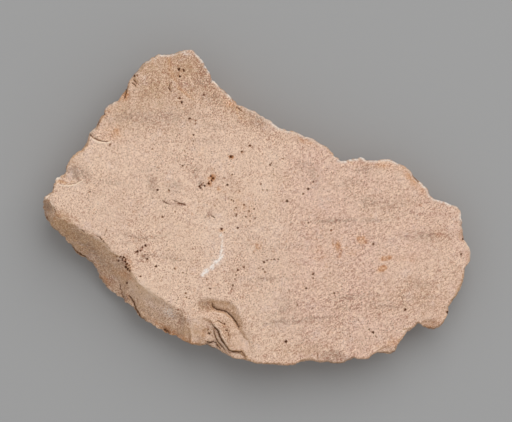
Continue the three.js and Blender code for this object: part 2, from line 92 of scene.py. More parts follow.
# A stroke gets thinner towards its ends: to which share, how suddenly, and how many of its half
# widths it reaches to the side
STROKE_END_SHARE = 0.6
STROKE_END_POWER = 6
STROKE_REACH = 3

# Parts of the stone by how much their surface faces up, from -1 to 1: where the part starts, and
# where all belongs to it. The back and what lies under the edge are measured by facing down, and
# what is whole by either.
FACE_FACING = (0.86, 0.97)
BACK_FACING = (0.9, 0.98)
UNDER_FACING = (-0.35, 0.1)
SEEN_FACING = (-0.1, 0.25)
SOFT_FACING = (0, 0.3)
WHOLE_FACING = (0.84, 0.95)

# The stone's rim: its half width as seen from above, its depth in millimetres, and how far
# beside a line it takes that line's painted shade and painted highlight
RIM_HALF_PIXELS = 1.8
RIM_DEPTH = 1.5
RIM_REACH_PIXELS = 5

# Relief of the broken walls and of the faces, as wavelength and height
FRACTURE_RELIEF = [(9, 0.3), (3.6, 0.24), (1.6, 0.13)]
FACE_RELIEF = [(7, 0.06), (2.4, 0.05), (1.2, 0.04)]
# Bites in the outline, as wavelength and depth, then how much longer they are along each axis,
# how far in they reach, and the noise above which they start
NIBBLE_SIZES = [(4.2, 0.9), (2.0, 0.8), (1.1, 0.6)]
NIBBLE_STRETCH = (1, 1, 3)
NIBBLE_REACH = 3
NIBBLE_START = 0.1
# Where the outline runs smoothly and is bitten less, and where the break is fresher and paler:
# column, row, half width, half height in pixels, turn, share
CALM_PIXELS = [(112, 289, 14, 11, -48, 0.85), (192, 52, 10, 8, 0, 0.7), (390, 160, 14, 6, 0, 0.7)]
FRESH_PIXELS = [(153, 301, 26, 9, -42, 0.55)]
# Where the edge stands out a little more, with the same columns but millimetres for the share
SWELL_REACH = 4.5
SWELL_PIXELS = [
    (110, 289, 15, 10, -48, 1.15), (80, 256, 17, 8, -40, 0.5), (191, 52, 8, 7, 0, 0.5),
    (391, 160, 12, 6, 0, 0.5), (440, 327, 10, 6, 0, 0.3), (459, 292, 6, 12, -20, 0.3),
]
# Layers that show under the edge
BEDDING_THICKNESS = 1.7
BEDDING_LENGTH = 22
BEDDING_HEIGHT = 0.2
# Fine ridges that comb the face in one direction, turned by some degrees
WRINKLE_LENGTH = 3.2
WRINKLE_WIDTH = 0.95
WRINKLE_HEIGHT = 0.05
WRINKLE_TURN = 28
# From the first of these columns to the second they grow darker, and the stone grows pinker
COMBED_COLUMNS = (230, 330)

# Where the random numbers of each relief start
FRACTURE_SEED = 10
BEDDING_SEED = 20
FACE_SEED = 30
WRINKLE_SEED = 40
BACK_SEED = 50
NIBBLE_SEED = 70

# How the outlines of stains and of marks are shaken about, and those of pits once more: the size
# and the reach of the noise, and its seeds in the two directions
FRAY = (2.2, 0.45, (60, 61))
SHAKE = (0.9, 0.16, (62, 63))
JAG = (0.45, 0.17, (64, 65))

# Dark pits: column, row and radius in pixels
PIT_PIXELS = [
    (242, 152, 1.2), (250, 146, 1.1), (270, 165, 1.1), (283, 159, 0.8),
    (179, 70, 1.7), (184, 71, 1.4), (180, 77, 1.3), (204, 95, 1.1), (190, 119, 1.1),
    (196, 121, 0.8), (196, 124, 0.9), (180, 99, 1.2), (182, 103, 1.4), (183, 166, 0.9),
    (158, 190, 1.3), (111, 145, 1.0), (91, 192, 0.9), (163, 217, 1.0), (222, 229, 1.5),
    (212, 80, 0.9), (261, 184, 0.9), (308, 189, 1.4), (303, 194, 1.1), (287, 201, 1.2),
    (308, 223, 0.9), (331, 230, 1.1), (373, 244, 1.5), (238, 228, 1.0), (244, 205, 1.0),
    (249, 211, 1.0), (250, 216, 0.8), (254, 209, 0.8), (236, 216, 0.9), (250, 221, 0.8),
    (236, 208, 1.0), (246, 217, 0.9), (278, 259, 0.8), (274, 259, 0.8), (271, 260, 0.7),
    (267, 260, 0.8), (264, 262, 1.2), (244, 267, 0.9), (265, 272, 1.0), (263, 269, 0.8),
    (259, 268, 0.8), (238, 270, 1.2), (236, 275, 0.9), (235, 279, 0.8), (233, 285, 1.1),
    (232, 289, 0.9), (313, 274, 1.1), (313, 278, 0.9), (463, 239, 1.1), (461, 254, 1.1),
    (286, 341, 1.5), (447, 312, 1.2), (405, 309, 1.3), (334, 293, 0.9), (306, 288, 1.0),
    (358, 320, 0.9), (373, 332, 1.1), (369, 329, 0.9), (157, 266, 0.9), (186, 293, 1.0),
    (187, 297, 0.8), (350, 336, 0.7), (297, 305, 0.8), (330, 273, 0.8), (289, 290, 0.8),
    (121.2, 256.8, 1.3), (124.2, 257.4, 1.4), (119.1, 260.5, 1.0), (126, 261, 1.3),
    (126.4, 266.8, 1.4), (128.2, 268.9, 1.5), (129.7, 265.3, 1.0), (205, 186, 1.2),
    (211, 176.4, 1.2), (213.3, 178.2, 1.6), (211.8, 180.6, 1.1), (208.8, 183.6, 1.3),
    (199.6, 186.4, 1.2), (201.4, 184.6, 0.9), (200.8, 188, 0.9), (203.4, 182.8, 0.8),
    (231, 157, 1.8), (127, 283, 1.2), (224.5, 323.6, 1.1), (209, 333, 0.9), (214, 325, 0.9),
    (141, 276, 0.9),
    (104.6, 114.4, 1.2), (135, 76.5, 1.1), (129, 83.2, 0.9), (138, 76.1, 0.8),
    (156.3, 266.2, 0.9), (189.5, 298.2, 0.7), (175.4, 268.4, 0.8), (183.2, 272.5, 0.7),
    (207, 279, 0.8), (210, 288.3, 0.9), (208.2, 329.4, 0.8), (226, 329.9, 0.8),
    (447.2, 312.7, 1.2), (338.6, 245, 0.7),
    (143, 247, 1.1), (146, 245.6, 1.3), (138, 251.4, 1.3), (141.2, 250.6, 1.0),
    (136.2, 252, 0.8), (148, 259, 1.0), (142.6, 255, 0.7), (123, 259.6, 1.0), (127.6, 263.6, 1.1),
    (193.6, 135.4, 0.9), (193.9, 141.4, 0.8), (271.4, 163.3, 0.7), (273.6, 174.6, 0.8),
    (262.6, 190.3, 0.8), (267, 190, 0.7), (227.6, 185, 1.2), (224.3, 178.3, 0.8), (232, 175, 0.8),
    (239.6, 191.4, 0.7), (215, 205.7, 0.7), (231.4, 200, 0.9), (233.4, 201, 0.8), (234.3, 210, 0.7),
    (236.4, 214.3, 0.8), (255, 218.3, 0.8), (224.3, 232.4, 0.7), (169.3, 190.4, 1.0),
    (184.7, 151, 0.7), (153, 149.6, 0.8), (175.4, 211.4, 0.7), (318, 176, 0.8), (313, 182, 0.9),
    (126.4, 259, 1.0), (156, 266, 1.1), (130.4, 270.6, 0.9), (117.6, 256.4, 0.8), (193, 249, 0.7),
]
# Their depth, the share of the radius at which it is down to a third, and the radius below which
# their colour is weaker
PIT_DEPTH = 0.35
PIT_SHARE = 0.82
PIT_FULL_PIXELS = 1.1

# Thin dark lines, each cut along a few places: lines of cracking and streaks, and a painted shade
# along
# steps, creases and notches of the breaks: width in pixels, depth in millimetres, darkness and
# places
CRACK_AND_SHADE_PIXELS = [
    # painted shade in the crease under the brow of the spall
    (1.7, 0.5, 1.0, [(211, 300.5), (213.6, 306.6), (217, 309.3), (221.5, 310), (226, 311),
                     (230.5, 314.7), (234, 319), (237.7, 324.5), (239.5, 330)]),
    # painted shade along the steps at the edges of the spall's layers
    (1.4, 0.4, 1.0, [(210.4, 318.7), (212.7, 324.5), (215, 327.2), (218.5, 330.8), (219.4, 335.2),
                     (222.5, 340.6), (227, 346.8), (228.8, 350), (233.2, 351.3), (238.6, 351.7),
                     (242, 351.3), (244.8, 355), (247.5, 358)]),
    (1.1, 0.35, 0.9, [(213.6, 328), (214, 332.5), (215.8, 337), (218.5, 342.4), (222.5, 346.8),
                      (226, 351.3)]),
    (1.3, 0.4, 0.9, [(206, 340.6), (209, 342.8), (213.6, 341.5), (215.8, 342.4), (218.5, 346.8),
                     (220.7, 349.5)]),
    (0.9, 0.25, 0.7, [(214.5, 321.4), (218.5, 320.5), (221.6, 322.3), (224.7, 323.8)]),
    (0.9, 0.2, 0.6, [(226, 327), (228.8, 333.4), (230, 340.6)]),
    (1.2, 0.25, 0.9, [(207.8, 333.4), (211.3, 333.7)]),
    (0.8, 0.15, 0.4, [(241, 333), (244, 337), (248, 341), (250, 346)]),
    # painted shade along the steps between the two bevels
    (1.3, 0.4, 0.7, [(119, 281), (119.8, 288.8), (121.2, 293.3), (122.5, 297.7), (125.2, 303)]),
    (1.6, 0.5, 0.9, [(128.3, 293.3), (131.4, 298.6), (134, 303), (135.4, 307.5), (137.7, 312),
                     (141, 319)]),
    # painted shade in notches in the lower edge
    (2.2, 0.5, 0.8, [(162.7, 328.5), (167, 331.6), (169.8, 334.3)]),
    (1.6, 0.4, 0.8, [(46.7, 216), (49, 220.5)]),
    (1.8, 0.4, 0.8, [(61.2, 235), (64.5, 238.4)]),
    (1.6, 0.3, 0.8, [(71, 246), (75, 250.8), (82.4, 255.6), (87.9, 258)]),
    # the upper edge of the long bevel
    (0.9, 0.2, 0.6, [(82.4, 229.5), (86, 232.6)]),
    (0.9, 0.25, 0.8, [(96.4, 235), (100.6, 236.8), (104.2, 241), (105.8, 243.5)]),
    (0.8, 0.15, 0.6, [(108.5, 227.7), (106.7, 231.4), (105.5, 234.4), (104.8, 239.8)]),
    (1.4, 0.3, 0.6, [(54.5, 206), (56, 210), (57.5, 214)]),
    # the feet of the two struck scars on the left edge
    (1.6, 0.3, 0.75, [(90, 134), (92.5, 136.6), (95.4, 139)]),
    (1.2, 0.3, 0.7, [(93, 137), (98, 140), (104, 141.6), (109.5, 142)]),
    (1.3, 0.3, 0.7, [(100.4, 121.4), (99, 124), (97.5, 126.3)]),
    (0.8, 0.15, 0.4, [(64.6, 184.2), (70.2, 184.4), (76.5, 183.4), (80.7, 181), (84, 179)]),
    (1.4, 0.25, 0.6, [(67, 165.6), (65.8, 170), (65.4, 175)]),
    (1.5, 0.3, 0.9, [(54.6, 185.5), (53, 189.5)]),
    # the notch above them, and the two short lines beside it
    (1.2, 0.4, 0.9, [(126.7, 87), (127, 92), (125.4, 98), (126.3, 100.4)]),
    (1.1, 0.3, 1.0, [(133.3, 80.4), (136.1, 82.1), (138, 84.6)]),
    (0.9, 0.3, 0.9, [(132.3, 83.5), (134.7, 85), (137.2, 87.7)]),
    # an arc on the lobe
    (1.0, 0.2, 0.8, [(173, 82.5), (170, 85), (169.3, 88.5), (171, 91.5), (174, 93)]),
    # dark streaks in the purple brown stain
    (0.9, 0.1, 0.8, [(162, 199.5), (165.5, 202.5), (170, 204.5)]),
    (0.9, 0.1, 0.7, [(172.5, 199), (176, 201.5), (180, 203)]),
    (1.1, 0.1, 1.0, [(178, 202.4), (182, 203.6), (187, 205.6)]),
    # hairlines and low ridges on the face
    (1.0, 0.1, 0.3, [(119, 233), (134, 237), (150, 241), (163, 243), (166, 247)]),
    (0.9, 0.1, 0.3, [(137, 253), (143, 256), (149, 260)]),
    (0.8, 0.15, 0.5, [(189, 264.7), (186.8, 271.8), (186.3, 283.4)]),
    (0.7, 0.15, 0.6, [(400.8, 295), (403, 302), (404.6, 308)]),
    (0.7, 0.15, 0.6, [(368.3, 329.4), (373, 333), (377.8, 339)]),
    (0.9, 0.22, 0.6, [(316, 351), (318, 356), (318, 362)]),
    (1.1, 0.3, 0.8, [(412, 175), (416, 179), (419, 183)]),
    (0.9, 0.25, 0.7, [(236, 107), (240, 110), (243, 112)]),
    (0.9, 0.2, 0.7, [(211, 215), (216, 219)]),
]

# Fine pale lines where a broken edge catches the light: how high they stand at full strength,
# and for each its half width, strength and places
LIP_HEIGHT = 0.12
LIP_PIXELS = [
    (0.9, 1.0, [(89.5, 135.8), (94.7, 140.5), (100.4, 142.7), (107.4, 143.1), (112.3, 142.3)]),
    (0.8, 0.9, [(57.5, 184.6), (63.9, 185.7), (70.9, 185.9), (77.2, 184.5), (82.1, 181.4),
                (86, 179.5)]),
    (0.9, 0.8, [(89.5, 134), (92.5, 131.5), (96, 130)]),
    (1.4, 1.3, [(57.5, 179), (60, 178)]),
    (0.8, 0.9, [(45, 200), (48, 198), (51, 195)]),
    (0.7, 0.7, [(51, 201), (54, 205), (57, 210)]),
    (0.7, 0.6, [(397, 331), (407, 330.6)]),
    (0.7, 0.5, [(93.5, 236.5), (99, 239), (103.5, 243)]),
    (0.8, 0.6, [(213, 323), (216.5, 326.5), (221, 330.5), (222, 336), (225.5, 341), (229, 346.5)]),
    (0.7, 0.6, [(215.6, 330), (216.6, 334.5), (219.5, 339.5), (223.5, 344.5), (227.5, 350.5)]),
    (0.7, 0.6, [(212, 343.5), (215, 346.5), (217, 349.5)]),
    (0.7, 0.6, [(230, 353), (235, 354), (240, 354.4), (243, 357)]),
    (0.7, 0.4, [(213, 312), (219, 313), (225, 314.5), (229, 319)]),
    (0.6, 0.5, [(214, 322.5), (218.5, 322), (222, 324.5)]),
    # the crest of the two bevels
    (0.7, 0.4, [(105.5, 244.5), (112, 251), (118, 255)]),
    (0.7, 0.4, [(131, 274), (137, 280), (146, 288), (155, 295.5), (165, 302)]),
]

# Cracks, the painted shade lines and lips are coloured at these shares of the width at which they
# are cut
CRACK_AND_SHADE_COLOUR_SHARE = 0.6
LIP_COLOUR_SHARE = 0.75

# Normals are smoothed this often where marks are cut along them, and where they tell parts apart
CUT_SMOOTHINGS = 2
PART_SMOOTHINGS = 4

# Edges are made paler, and creases get a painted shade, by how far they stand out of the shape when
# smoothed this often
BULGE_SMOOTHINGS = (3, 12)

# Where the rim gets a painted shade, mostly along its lower side that faces away from the light:
# strength, places
RIM_SHADE_PIXELS = [
    (0.6, [(43, 203), (45, 214), (52, 226), (60, 236)]),
    (1.0, [(68, 243), (75, 251), (82.4, 255.6), (88, 258), (94.5, 265.3)]),
    (0.9, [(98, 274), (101, 279), (106, 288)]),
    (1.0, [(133, 306), (136, 311), (140.4, 318), (146, 323)]),
    (0.7, [(184, 342), (189, 344), (197, 346), (208, 345)]),
    (1.0, [(206, 342), (212, 345), (217, 350)]),
    (0.25, [(222, 356), (240, 361), (265, 364), (300, 363)]),
    (0.6, [(322, 361), (338, 361), (352, 357)]),
    (0.9, [(374, 353), (386, 354), (392, 352), (398, 346)]),
    (0.9, [(414, 326), (422, 327.5), (434, 329), (441, 325), (446, 320)]),
    (0.5, [(447, 314), (449, 311), (455, 298), (460, 290), (466, 281)]),
    (0.6, [(462, 232), (464, 240)]),
    (0.7, [(125, 96), (127, 90), (128, 85)]),
    (0.6, [(101, 119), (97, 127), (92, 133)]),
    (0.7, [(56, 184), (52, 190), (47, 196)]),
]
# Where the rim gets a painted highlight, along its upper side that faces the light: strength, places
RIM_HIGHLIGHT_PIXELS = [
    (0.8, [(57, 181), (61, 176)]),
    (0.9, [(90, 134), (93, 130), (96, 127)]),
    (0.7, [(105, 110), (111, 105), (117, 100)]),
    (1.0, [(130, 80), (134.7, 74.4), (139.7, 69), (150, 59), (161, 56), (176, 54), (190, 50)]),
    (1.0, [(190, 50), (198, 56), (204, 67), (213, 77), (226, 92), (238, 105)]),
    (0.6, [(238, 105), (260, 120), (285, 132), (310, 141), (332, 155)]),
    (1.0, [(332, 155), (341, 160), (349, 162), (361, 158), (376, 159), (391, 160), (405, 166)]),
    (1.0, [(405, 166), (412, 173), (422, 184), (433, 198), (444, 202), (454, 204), (460, 211)]),
    (0.8, [(460, 211), (462, 219), (463, 230)]),
    (0.4, [(464, 240), (468, 250), (469, 260)]),
]

# Parts that are smoothed over: column, row, half width, half height in pixels, turn, share
SOFT_PIXELS = [
    (190, 318, 7, 16, 0, 1.0),
    (210, 330, 4, 5, 0, 0.5),
]
SOFT_SMOOTHINGS = 40

# Hollows beside the broken edge: column, row, half width, half height in pixels, turn, depth
HOLLOW_PIXELS = [
    (165, 332, 5, 2.5, -30, 0.9),
    (206, 333, 4, 3, -40, 0.7),
    (224, 322, 4, 3, -50, 0.4),
    (245, 338, 5, 8, 20, 0.35),
    (60, 266, 4, 2.5, -45, 0.4),
    (92, 274, 5, 2.5, -50, 0.4),
    (148, 322, 5, 2, -30, 0.4),
]

# Colour blots. Each row: column, row, half width, half height in pixels, turn, strength.
# Iron stains, orange to brown
OCHRE_PIXELS = [
    (212, 178.5, 3, 3.2, 0, 1.8), (209, 184, 2, 2.4, 0, 1.2), (218.5, 189, 2.2, 1.8, 30, 0.8),
    (338.6, 249, 1.9, 5.6, 5, 3.0), (333, 243, 1.2, 4, 5, 1.0), (361.5, 240, 4, 2.8, -20, 3.0),
    (386, 258, 4.6, 2, 10, 2.6), (382, 268, 3.6, 2.2, 35, 2.6), (355, 251, 9, 3, 10, 0.25),
    (318, 250, 7, 6, 0, 0.2), (322, 257, 5, 2, 30, 0.3), (409, 258, 14, 5, 0, 0.16),
    (258, 246, 3.2, 4.4, 10, 0.7), (231, 157, 3, 1.8, -10, 1.1), (222, 230, 3, 1.6, 0, 0.7),
    (126, 275, 6, 3, -35, 1.2), (106, 281, 6, 4, -50, 0.9), (440, 235, 6, 4, 0, 0.3),
    (128, 262, 4, 8, 30, 0.45), (104, 114, 4, 13, -38, 0.45), (124, 97, 3, 5, -50, 0.6),
    (126, 93, 2, 7, 0, 0.7), (68, 156, 5, 5, -40, 0.4), (113, 135, 12, 5, -20, 0.35),
    (117, 131, 3, 3, 0, 0.4), (380, 165, 16, 3, -10, 0.5), (411, 179, 12, 4, -48, 0.55),
    (425, 190, 8, 4, -50, 0.42), (440, 200, 7, 3, -20, 0.35), (308, 141, 11, 2.6, -12, 0.6),
    (172, 333, 20, 3, -32, 0.9), (190, 343, 8, 3, -25, 0.7), (166, 332, 4, 3, -30, 0.5),
    (431, 325, 9, 4, 10, 0.5), (392, 342, 9, 4, 0, 0.4), (443, 318, 5, 6, 20, 0.2),
    (460, 290, 4, 9, -20, 0.1), (284, 364, 18, 2.5, 3, 0.2), (231, 104, 6, 4, -35, 0.9),
    (216, 78, 5, 12, 30, 0.25), (226, 338, 8, 13, 20, 0.22), (240, 350, 8, 6, 10, 0.2),
    (200, 330, 8, 12, 0, 0.1), (244, 205, 12, 16, 20, 0.22), (468, 258, 3, 10, 0, 0.12),
]
# Rust red and purple
RUST_PIXELS = [
    (210, 215, 3.4, 2.6, 0, 0.8), (166, 202, 7, 2.4, -20, 0.4), (180, 203.5, 6, 1.6, -16, 0.6),
    (145, 246, 3.4, 1.5, 30, 0.9), (139, 251, 3.5, 1.4, 10, 0.9), (181, 84, 3, 5, -10, 0.5),
    (109, 281, 4, 4, 0, 0.3), (126, 299, 3, 3, 0, 0.6), (233, 268, 40, 30, 0, 0.08),
    (125.5, 261, 3.5, 7, -35, 0.5),
]
# Grey brown stains, and a painted shade on the brow of the spall
SMEAR_AND_SHADE_PIXELS = [
    (128, 117, 22, 5, 4, 0.3), (165, 118, 26, 7, 6, 0.34), (218, 127, 18, 4, -4, 0.22),
    (258, 121, 14, 6, -32, 0.55), (215, 97, 14, 6, 10, 0.3), (188, 57, 16, 6, 0, 0.2),
    (206, 74, 10, 13, 0, 0.5), (200, 84, 14, 6, 0, 0.35), (365, 168, 11, 7, 0, 0.42),
    (308, 141, 11, 2.6, -12, 0.4), (382, 204, 22, 5, 0, 0.3), (336, 221, 18, 2, 2, 0.6),
    (372, 220, 14, 2, -2, 0.5), (428, 236, 26, 4, 2, 0.5), (368, 200, 6, 5, -30, 0.4),
    (304, 166, 6, 6, 0, 0.3), (345, 183, 12, 4, 5, 0.3), (262, 279, 22, 2.2, 1, 0.42),
    (300, 246, 13, 2, 4, 0.3), (352, 297, 18, 2.6, 4, 0.5), (385, 306, 18, 2.4, -2, 0.5),
    (420, 297, 14, 2, 0, 0.4), (420, 284, 14, 5, 0, 0.26), (322, 318, 15, 2.2, 5, 0.34),
    (278, 312, 9, 1.8, 30, 0.3), (286, 321, 21, 3, 6, 0.4), (345, 306, 8, 5, 0, 0.35),
    (153, 185, 5, 9, 15, 0.45), (174, 186, 7, 6, 30, 0.4), (196, 172, 4, 6, 0, 0.4),
    (314, 176, 5, 10, 15, 0.4), (286, 303, 7, 9, 0, 0.3), (118, 184, 12, 2.4, -8, 0.26),
    (136, 237, 20, 2.2, -6, 0.34), (172, 258, 15, 2, -8, 0.34), (150, 170, 10, 2, 12, 0.24),
    (205, 141, 16, 2.4, 0, 0.22), (77, 173, 11, 6, -25, 1.1), (47, 205, 6, 9, 20, 0.8),
    # The blot at column 206, row 304 is a painted shade on the brow of the spall
    (201, 184.5, 2.4, 3, -30, 1.3), (206, 304, 6, 4, -20, 0.45), (333, 356, 11, 6, 10, 0.55),
    (185, 321, 8, 5, -30, 0.3), (290, 325, 50, 20, 0, 0.14), (110, 215, 45, 35, 0, 0.08),
    (147, 257, 8, 3, 20, 0.6), (145, 239, 22, 1.6, 12, 0.4), (432, 323, 7, 4, 10, 0.35),
    (203, 340, 8, 6, 0, 0.3), (226, 335, 6, 12, 15, 0.3), (116, 265, 14, 10, -45, 0.15),
    (80, 238, 24, 7, -35, 0.2), (104, 268, 16, 8, -50, 0.12), (95, 255, 15, 5, -46, 0.4),
]
# Tan, darker parts of the face and of the breaks, and a painted shade on the brow of the spall
TAN_PIXELS = [
    (62, 222, 14, 11, -40, 1.25), (85, 243, 24, 13, -38, 0.9), (150, 290, 20, 8, -42, 0.25),
    (226, 335, 9, 14, 20, 0.35), (108, 266, 17, 14, -48, 0.45), (150, 88, 20, 18, -30, 0.5),
    # The blots at column 206, row 305, at 224, 302 and at 236, 318 are a painted shade on the brow
    # of the spall
    (206, 305, 7, 5, -20, 1.7), (224, 302, 10, 3.4, 5, 0.25), (196, 330, 9, 12, 0, 0.6),
    (236, 318, 7, 3, -60, 0.3), (131, 301, 4, 9, 25, 0.6), (182, 72, 46, 34, -10, 1.1),
     (228, 96, 34, 14, -40, 0.5), (250, 120, 30, 9, -30, 0.4),
    (120, 110, 22, 20, -40, 0.45), (66, 165, 16, 14, 0, 0.4), (160, 130, 60, 22, 0, 0.3),
    (400, 210, 55, 30, 0, 0.24), (420, 300, 60, 30, 0, 0.5), (440, 240, 30, 40, 0, 0.2),
    (330, 350, 60, 12, 0, 0.35), (232, 322, 30, 26, 0, 0.42), (290, 352, 34, 12, 4, 0.3),
]
# Chalky white: the strokes of a scrape, as half width, strength and places, and pale haloes,
# among which is a painted highlight on the rim of the lobe
SCRAPE_PIXELS = [
    (1.3, 0.8, [(220, 231), (222, 238), (223, 246), (222.5, 252)]),
    (1.9, 1.2, [(223, 249), (221, 257), (217, 263), (211, 268)]),
    (2.2, 1.3, [(214, 265), (208, 270), (201, 276)]),
]
CHALK_AND_GLINT_PIXELS = [
    (170, 313, 9, 6, -35, 0.7), (262, 232, 45, 32, 0, 0.25), (212, 250, 20, 24, 0, 0.2),
    (216, 262, 6, 4, 35, 0.35), (187, 216, 12, 8, 0, 0.25), (213, 222, 14, 9, 0, 0.2),
    # The blot at column 187, row 54 is a painted highlight on the rim of the lobe
    (272, 155, 14, 14, 0, 0.25), (265, 187, 12, 8, 0, 0.2), (187, 54, 6, 2, -12, 0.7),
    (130, 150, 14, 10, 0, 0.2), (128, 240, 26, 12, 0, 0.16), (262, 300, 24, 12, 0, 0.2),
    (275, 125, 6, 2, -35, 0.5), (416, 195, 6, 10, 0, 0.3),
]

# Where the grain is stronger, where it is weaker, and the least that is left of it
COARSE_PIXELS = [
    (185, 75, 40, 34, 0, 0.3), (245, 110, 30, 12, -35, 0.2), (126, 264, 14, 16, -45, 0.2),
    (180, 318, 16, 11, -30, 0.9), (222, 335, 10, 16, 0, 0.6),
]
SMOOTH_PIXELS = [
    (195, 329, 10, 15, 0, 0.75), (224, 303, 16, 5, 0, 0.35), (242, 343, 8, 10, 0, 0.6),
    (148, 289, 22, 8, -42, 0.6), (85, 243, 30, 10, -40, 0.3), (50, 206, 6, 8, 0, 0.6),
    (74, 174, 9, 8, 0, 0.5), (222, 345, 10, 6, 0, 0.3),
]
LEAST_GAIN = 0.2

# Colours of the stone, as sRGB
STONE_PALE = (244, 216, 192)
STONE_MID = (223, 193, 168)
STONE_PINK = (235, 200, 183)
FLECK_TAN = (222, 168, 122)
FLECK_CHALK = (238, 216, 206)
STONE_TAN = (180, 144, 106)
BREAK_BROWN = (200, 155, 104)
OCHRE = (202, 134, 72)
RUST = (112, 58, 42)
# Grey of the grey brown stains, and of a painted shade on the brow of the spall
SMEAR_AND_SHADE_GREY = (126, 102, 88)
PIT_BROWN = (60, 24, 4)
RING_BROWN = (146, 84, 40)
# The browns of the dark lines, the core and the softer band round it: cracking, and a painted shade
# along steps, creases and notches
CRACK_AND_SHADE_BROWN = (84, 50, 26)
SOFT_CRACK_AND_SHADE_BROWN = (150, 108, 72)
# White of the chalky scrapes, and of a painted highlight on the rim of the lobe
CHALK_AND_GLINT_WHITE = (255, 247, 240)
LIP_PALE = (255, 234, 212)
# White of the painted highlight along the rim
RIM_HIGHLIGHT_WHITE = (255, 252, 246)
SPECK_DARK = (158, 98, 74)
SPECK_PALE = (254, 224, 198)
SPECK_BROWN = (84, 48, 26)
# Brown of the painted shade along the rim
RIM_SHADE_BROWN = (84, 60, 42)

# Noises of the material: size, detail, roughness, shift, and for two of them how much they are
# lengthened along and across a turned direction
GRAIN_NOISE = (0.24, 3, 0.95, 11)
DENT_NOISE = (2.4, 3, 0.6, 17)
FRAY_NOISE = (1.1, 4, 0.75, 7)
WRINKLE_NOISE = (0.32, 3, 0.7, 13, (4.5, 1, WRINKLE_TURN))
# Noises that vary a share: the values between which each is spread, and what these become
GRAIN_VARIES = ((13, 3, 0.6, 2), (0.3, 0.7, 0.7, 1.2))
PINK_VARIES = ((30, 3, 0.5, 0), (0.3, 0.6, 0.3, 1))
TAN_VARIES = ((3.5, 4, 0.7, 4), (0.35, 0.65, 0.6, 1.1))
BREAK_VARIES = ((5, 4, 0.65, 6), (0.3, 0.7, 0.35, 0.8))
DOTS_VARY = ((8, 3, 0.6, 12), (0.42, 0.6, 0.02, 0.34))
CHALK_AND_GLINT_VARIES = ((0.5, 3, 0.8, 9, (3.4, 1, 47)), (0.38, 0.6, 0.1, 1.4))
MARKS_VARY = ((0.5, 3, 0.7, 8), (0.36, 0.62, -0.42, 0.2))
# What other values become, in the same way
COMBED_PINK = (0.3, 1, 0.25, 1)
COMBED_WRINKLE = (0, 1, 0.35, 1)
TAN_COVERS = (0, 1, 0, 0.85)
CHALK_AND_GLINT_COVERS = (0.05, 1.4, 0, 0.8)
RING_COVERS = (0.06, 0.45, 0, 0.55)
STAIN_FRAY = (0.36, 0.62, 0.2, 1.8)
RIM_FRAY = (0.38, 0.55, 0.6, 1)

# Colours that lie where a noise is high: the noise, where the colour starts and is full, the most
# that it covers, colour
MOTTLES = [
    ((9, 4, 0.6, 3), 0.4, 0.75, 0.55, STONE_MID),
    ((2.6, 3, 0.6, 5), 0.42, 0.8, 0.5, STONE_MID),
]
FLECKS = [
    ((1.7, 4, 0.75, 21), 0.56, 0.7, 0.5, FLECK_TAN),
    ((4.5, 5, 0.75, 22), 0.52, 0.7, 0.55, FLECK_CHALK),
]
# Stains, with the painted shade on the brow of the spall among the grey brown ones: attribute, the
# most that they cover, colour
STAINS = [("smear_and_shade", 0.7, SMEAR_AND_SHADE_GREY), ("ochre", 0.85, OCHRE), ("rust", 0.85, RUST)]
# Grain of three kinds, from a middle value: the values at which it is darkest and palest, and how
# much the pale and the dark then cover
GRAIN_MIDDLE = 0.5
GRAIN_LEVELS = (0.34, 0.66, 0.58, 0.56)
CRYSTAL_LEVELS = (0.15, 0.85, 0.62, 0.66)
WRINKLE_LEVELS = (0.38, 0.62, 0.34, 0.4)
CRYSTAL_SIZE = 0.27
# Small dark dots: the size of their cells, where in a cell they fade out, and the most they cover
DOT_CELL_SIZE = 0.65
DOT_COVERS = (0.36, 0.14, 0, 0.85)
# Paler edges, and the painted shade in creases: how far they stand out where the colour starts and
# is full, the most that it covers, colour
EDGE_TINTS = [(0.2, 0.7, 0.3, SPECK_PALE), (-0.05, -0.4, 0.6, SPECK_DARK)]
# The rim's painted highlight and painted shade, and the lips' painted highlight: attribute, colour
RIM_TINTS = [("rim_highlight", RIM_HIGHLIGHT_WHITE), ("rim_shade", RIM_SHADE_BROWN), ("lip", LIP_PALE)]
# Cracks with the painted shade along steps, creases and notches, and pits: attribute, where the
# colour starts and is full, the most that it covers, colour
MARK_TINTS = [
    ("crack_and_shade", 0.0, 0.6, 0.5, SOFT_CRACK_AND_SHADE_BROWN),
    ("crack_and_shade", 0.25, 0.65, 0.85, CRACK_AND_SHADE_BROWN),
    ("pit", 0.1, 0.6, 0.92, PIT_BROWN),
]
ROUGHNESS = 0.93
SPECULAR_LEVEL = 0.12
DENT_HEIGHT = 0.35
GRAIN_HEIGHT = 0.3

# Light, camera and floor
CAMERA_DISTANCE = 1100
CAMERA_SENSOR = 36
OUTLINE_HEIGHT = 13
KEY_DIRECTION = (0.42, 0.78, 0.95)
KEY_DISTANCE = 3000
KEY_SIZE = 3500
KEY_WATTS = 58
SKY_STRENGTH = 0.67
FLOOR_SIZE = 6000
FLOOR_GAP = 0.05
FLOOR_GREY = 0.335


def linear(colour):
    """An sRGB colour, 0 to 255, as linear light with alpha."""
    shares = [channel / 255 for channel in colour]
    curved = [s / 12.92 if s <= 0.04045 else ((s + 0.055) / 1.055) ** 2.4 for s in shares]
    return (*curved, 1.0)


def at_pixel(column, row):
    """The place on the stone that the photograph shows at a pixel, seen straight from above."""
    return np.array([
        LOWEST[0] + (column - STONE_LEFT_PIXEL) * PIXEL,
        LOWEST[1] + (STONE_BOTTOM_PIXEL - row) * PIXEL,
    ])


def smooth_share(values, low, high):
    """0 below low, 1 above high, and a soft turn between them."""
    share = np.clip((values - low) / (high - low), 0, 1)
    return share * share * (3 - 2 * share)


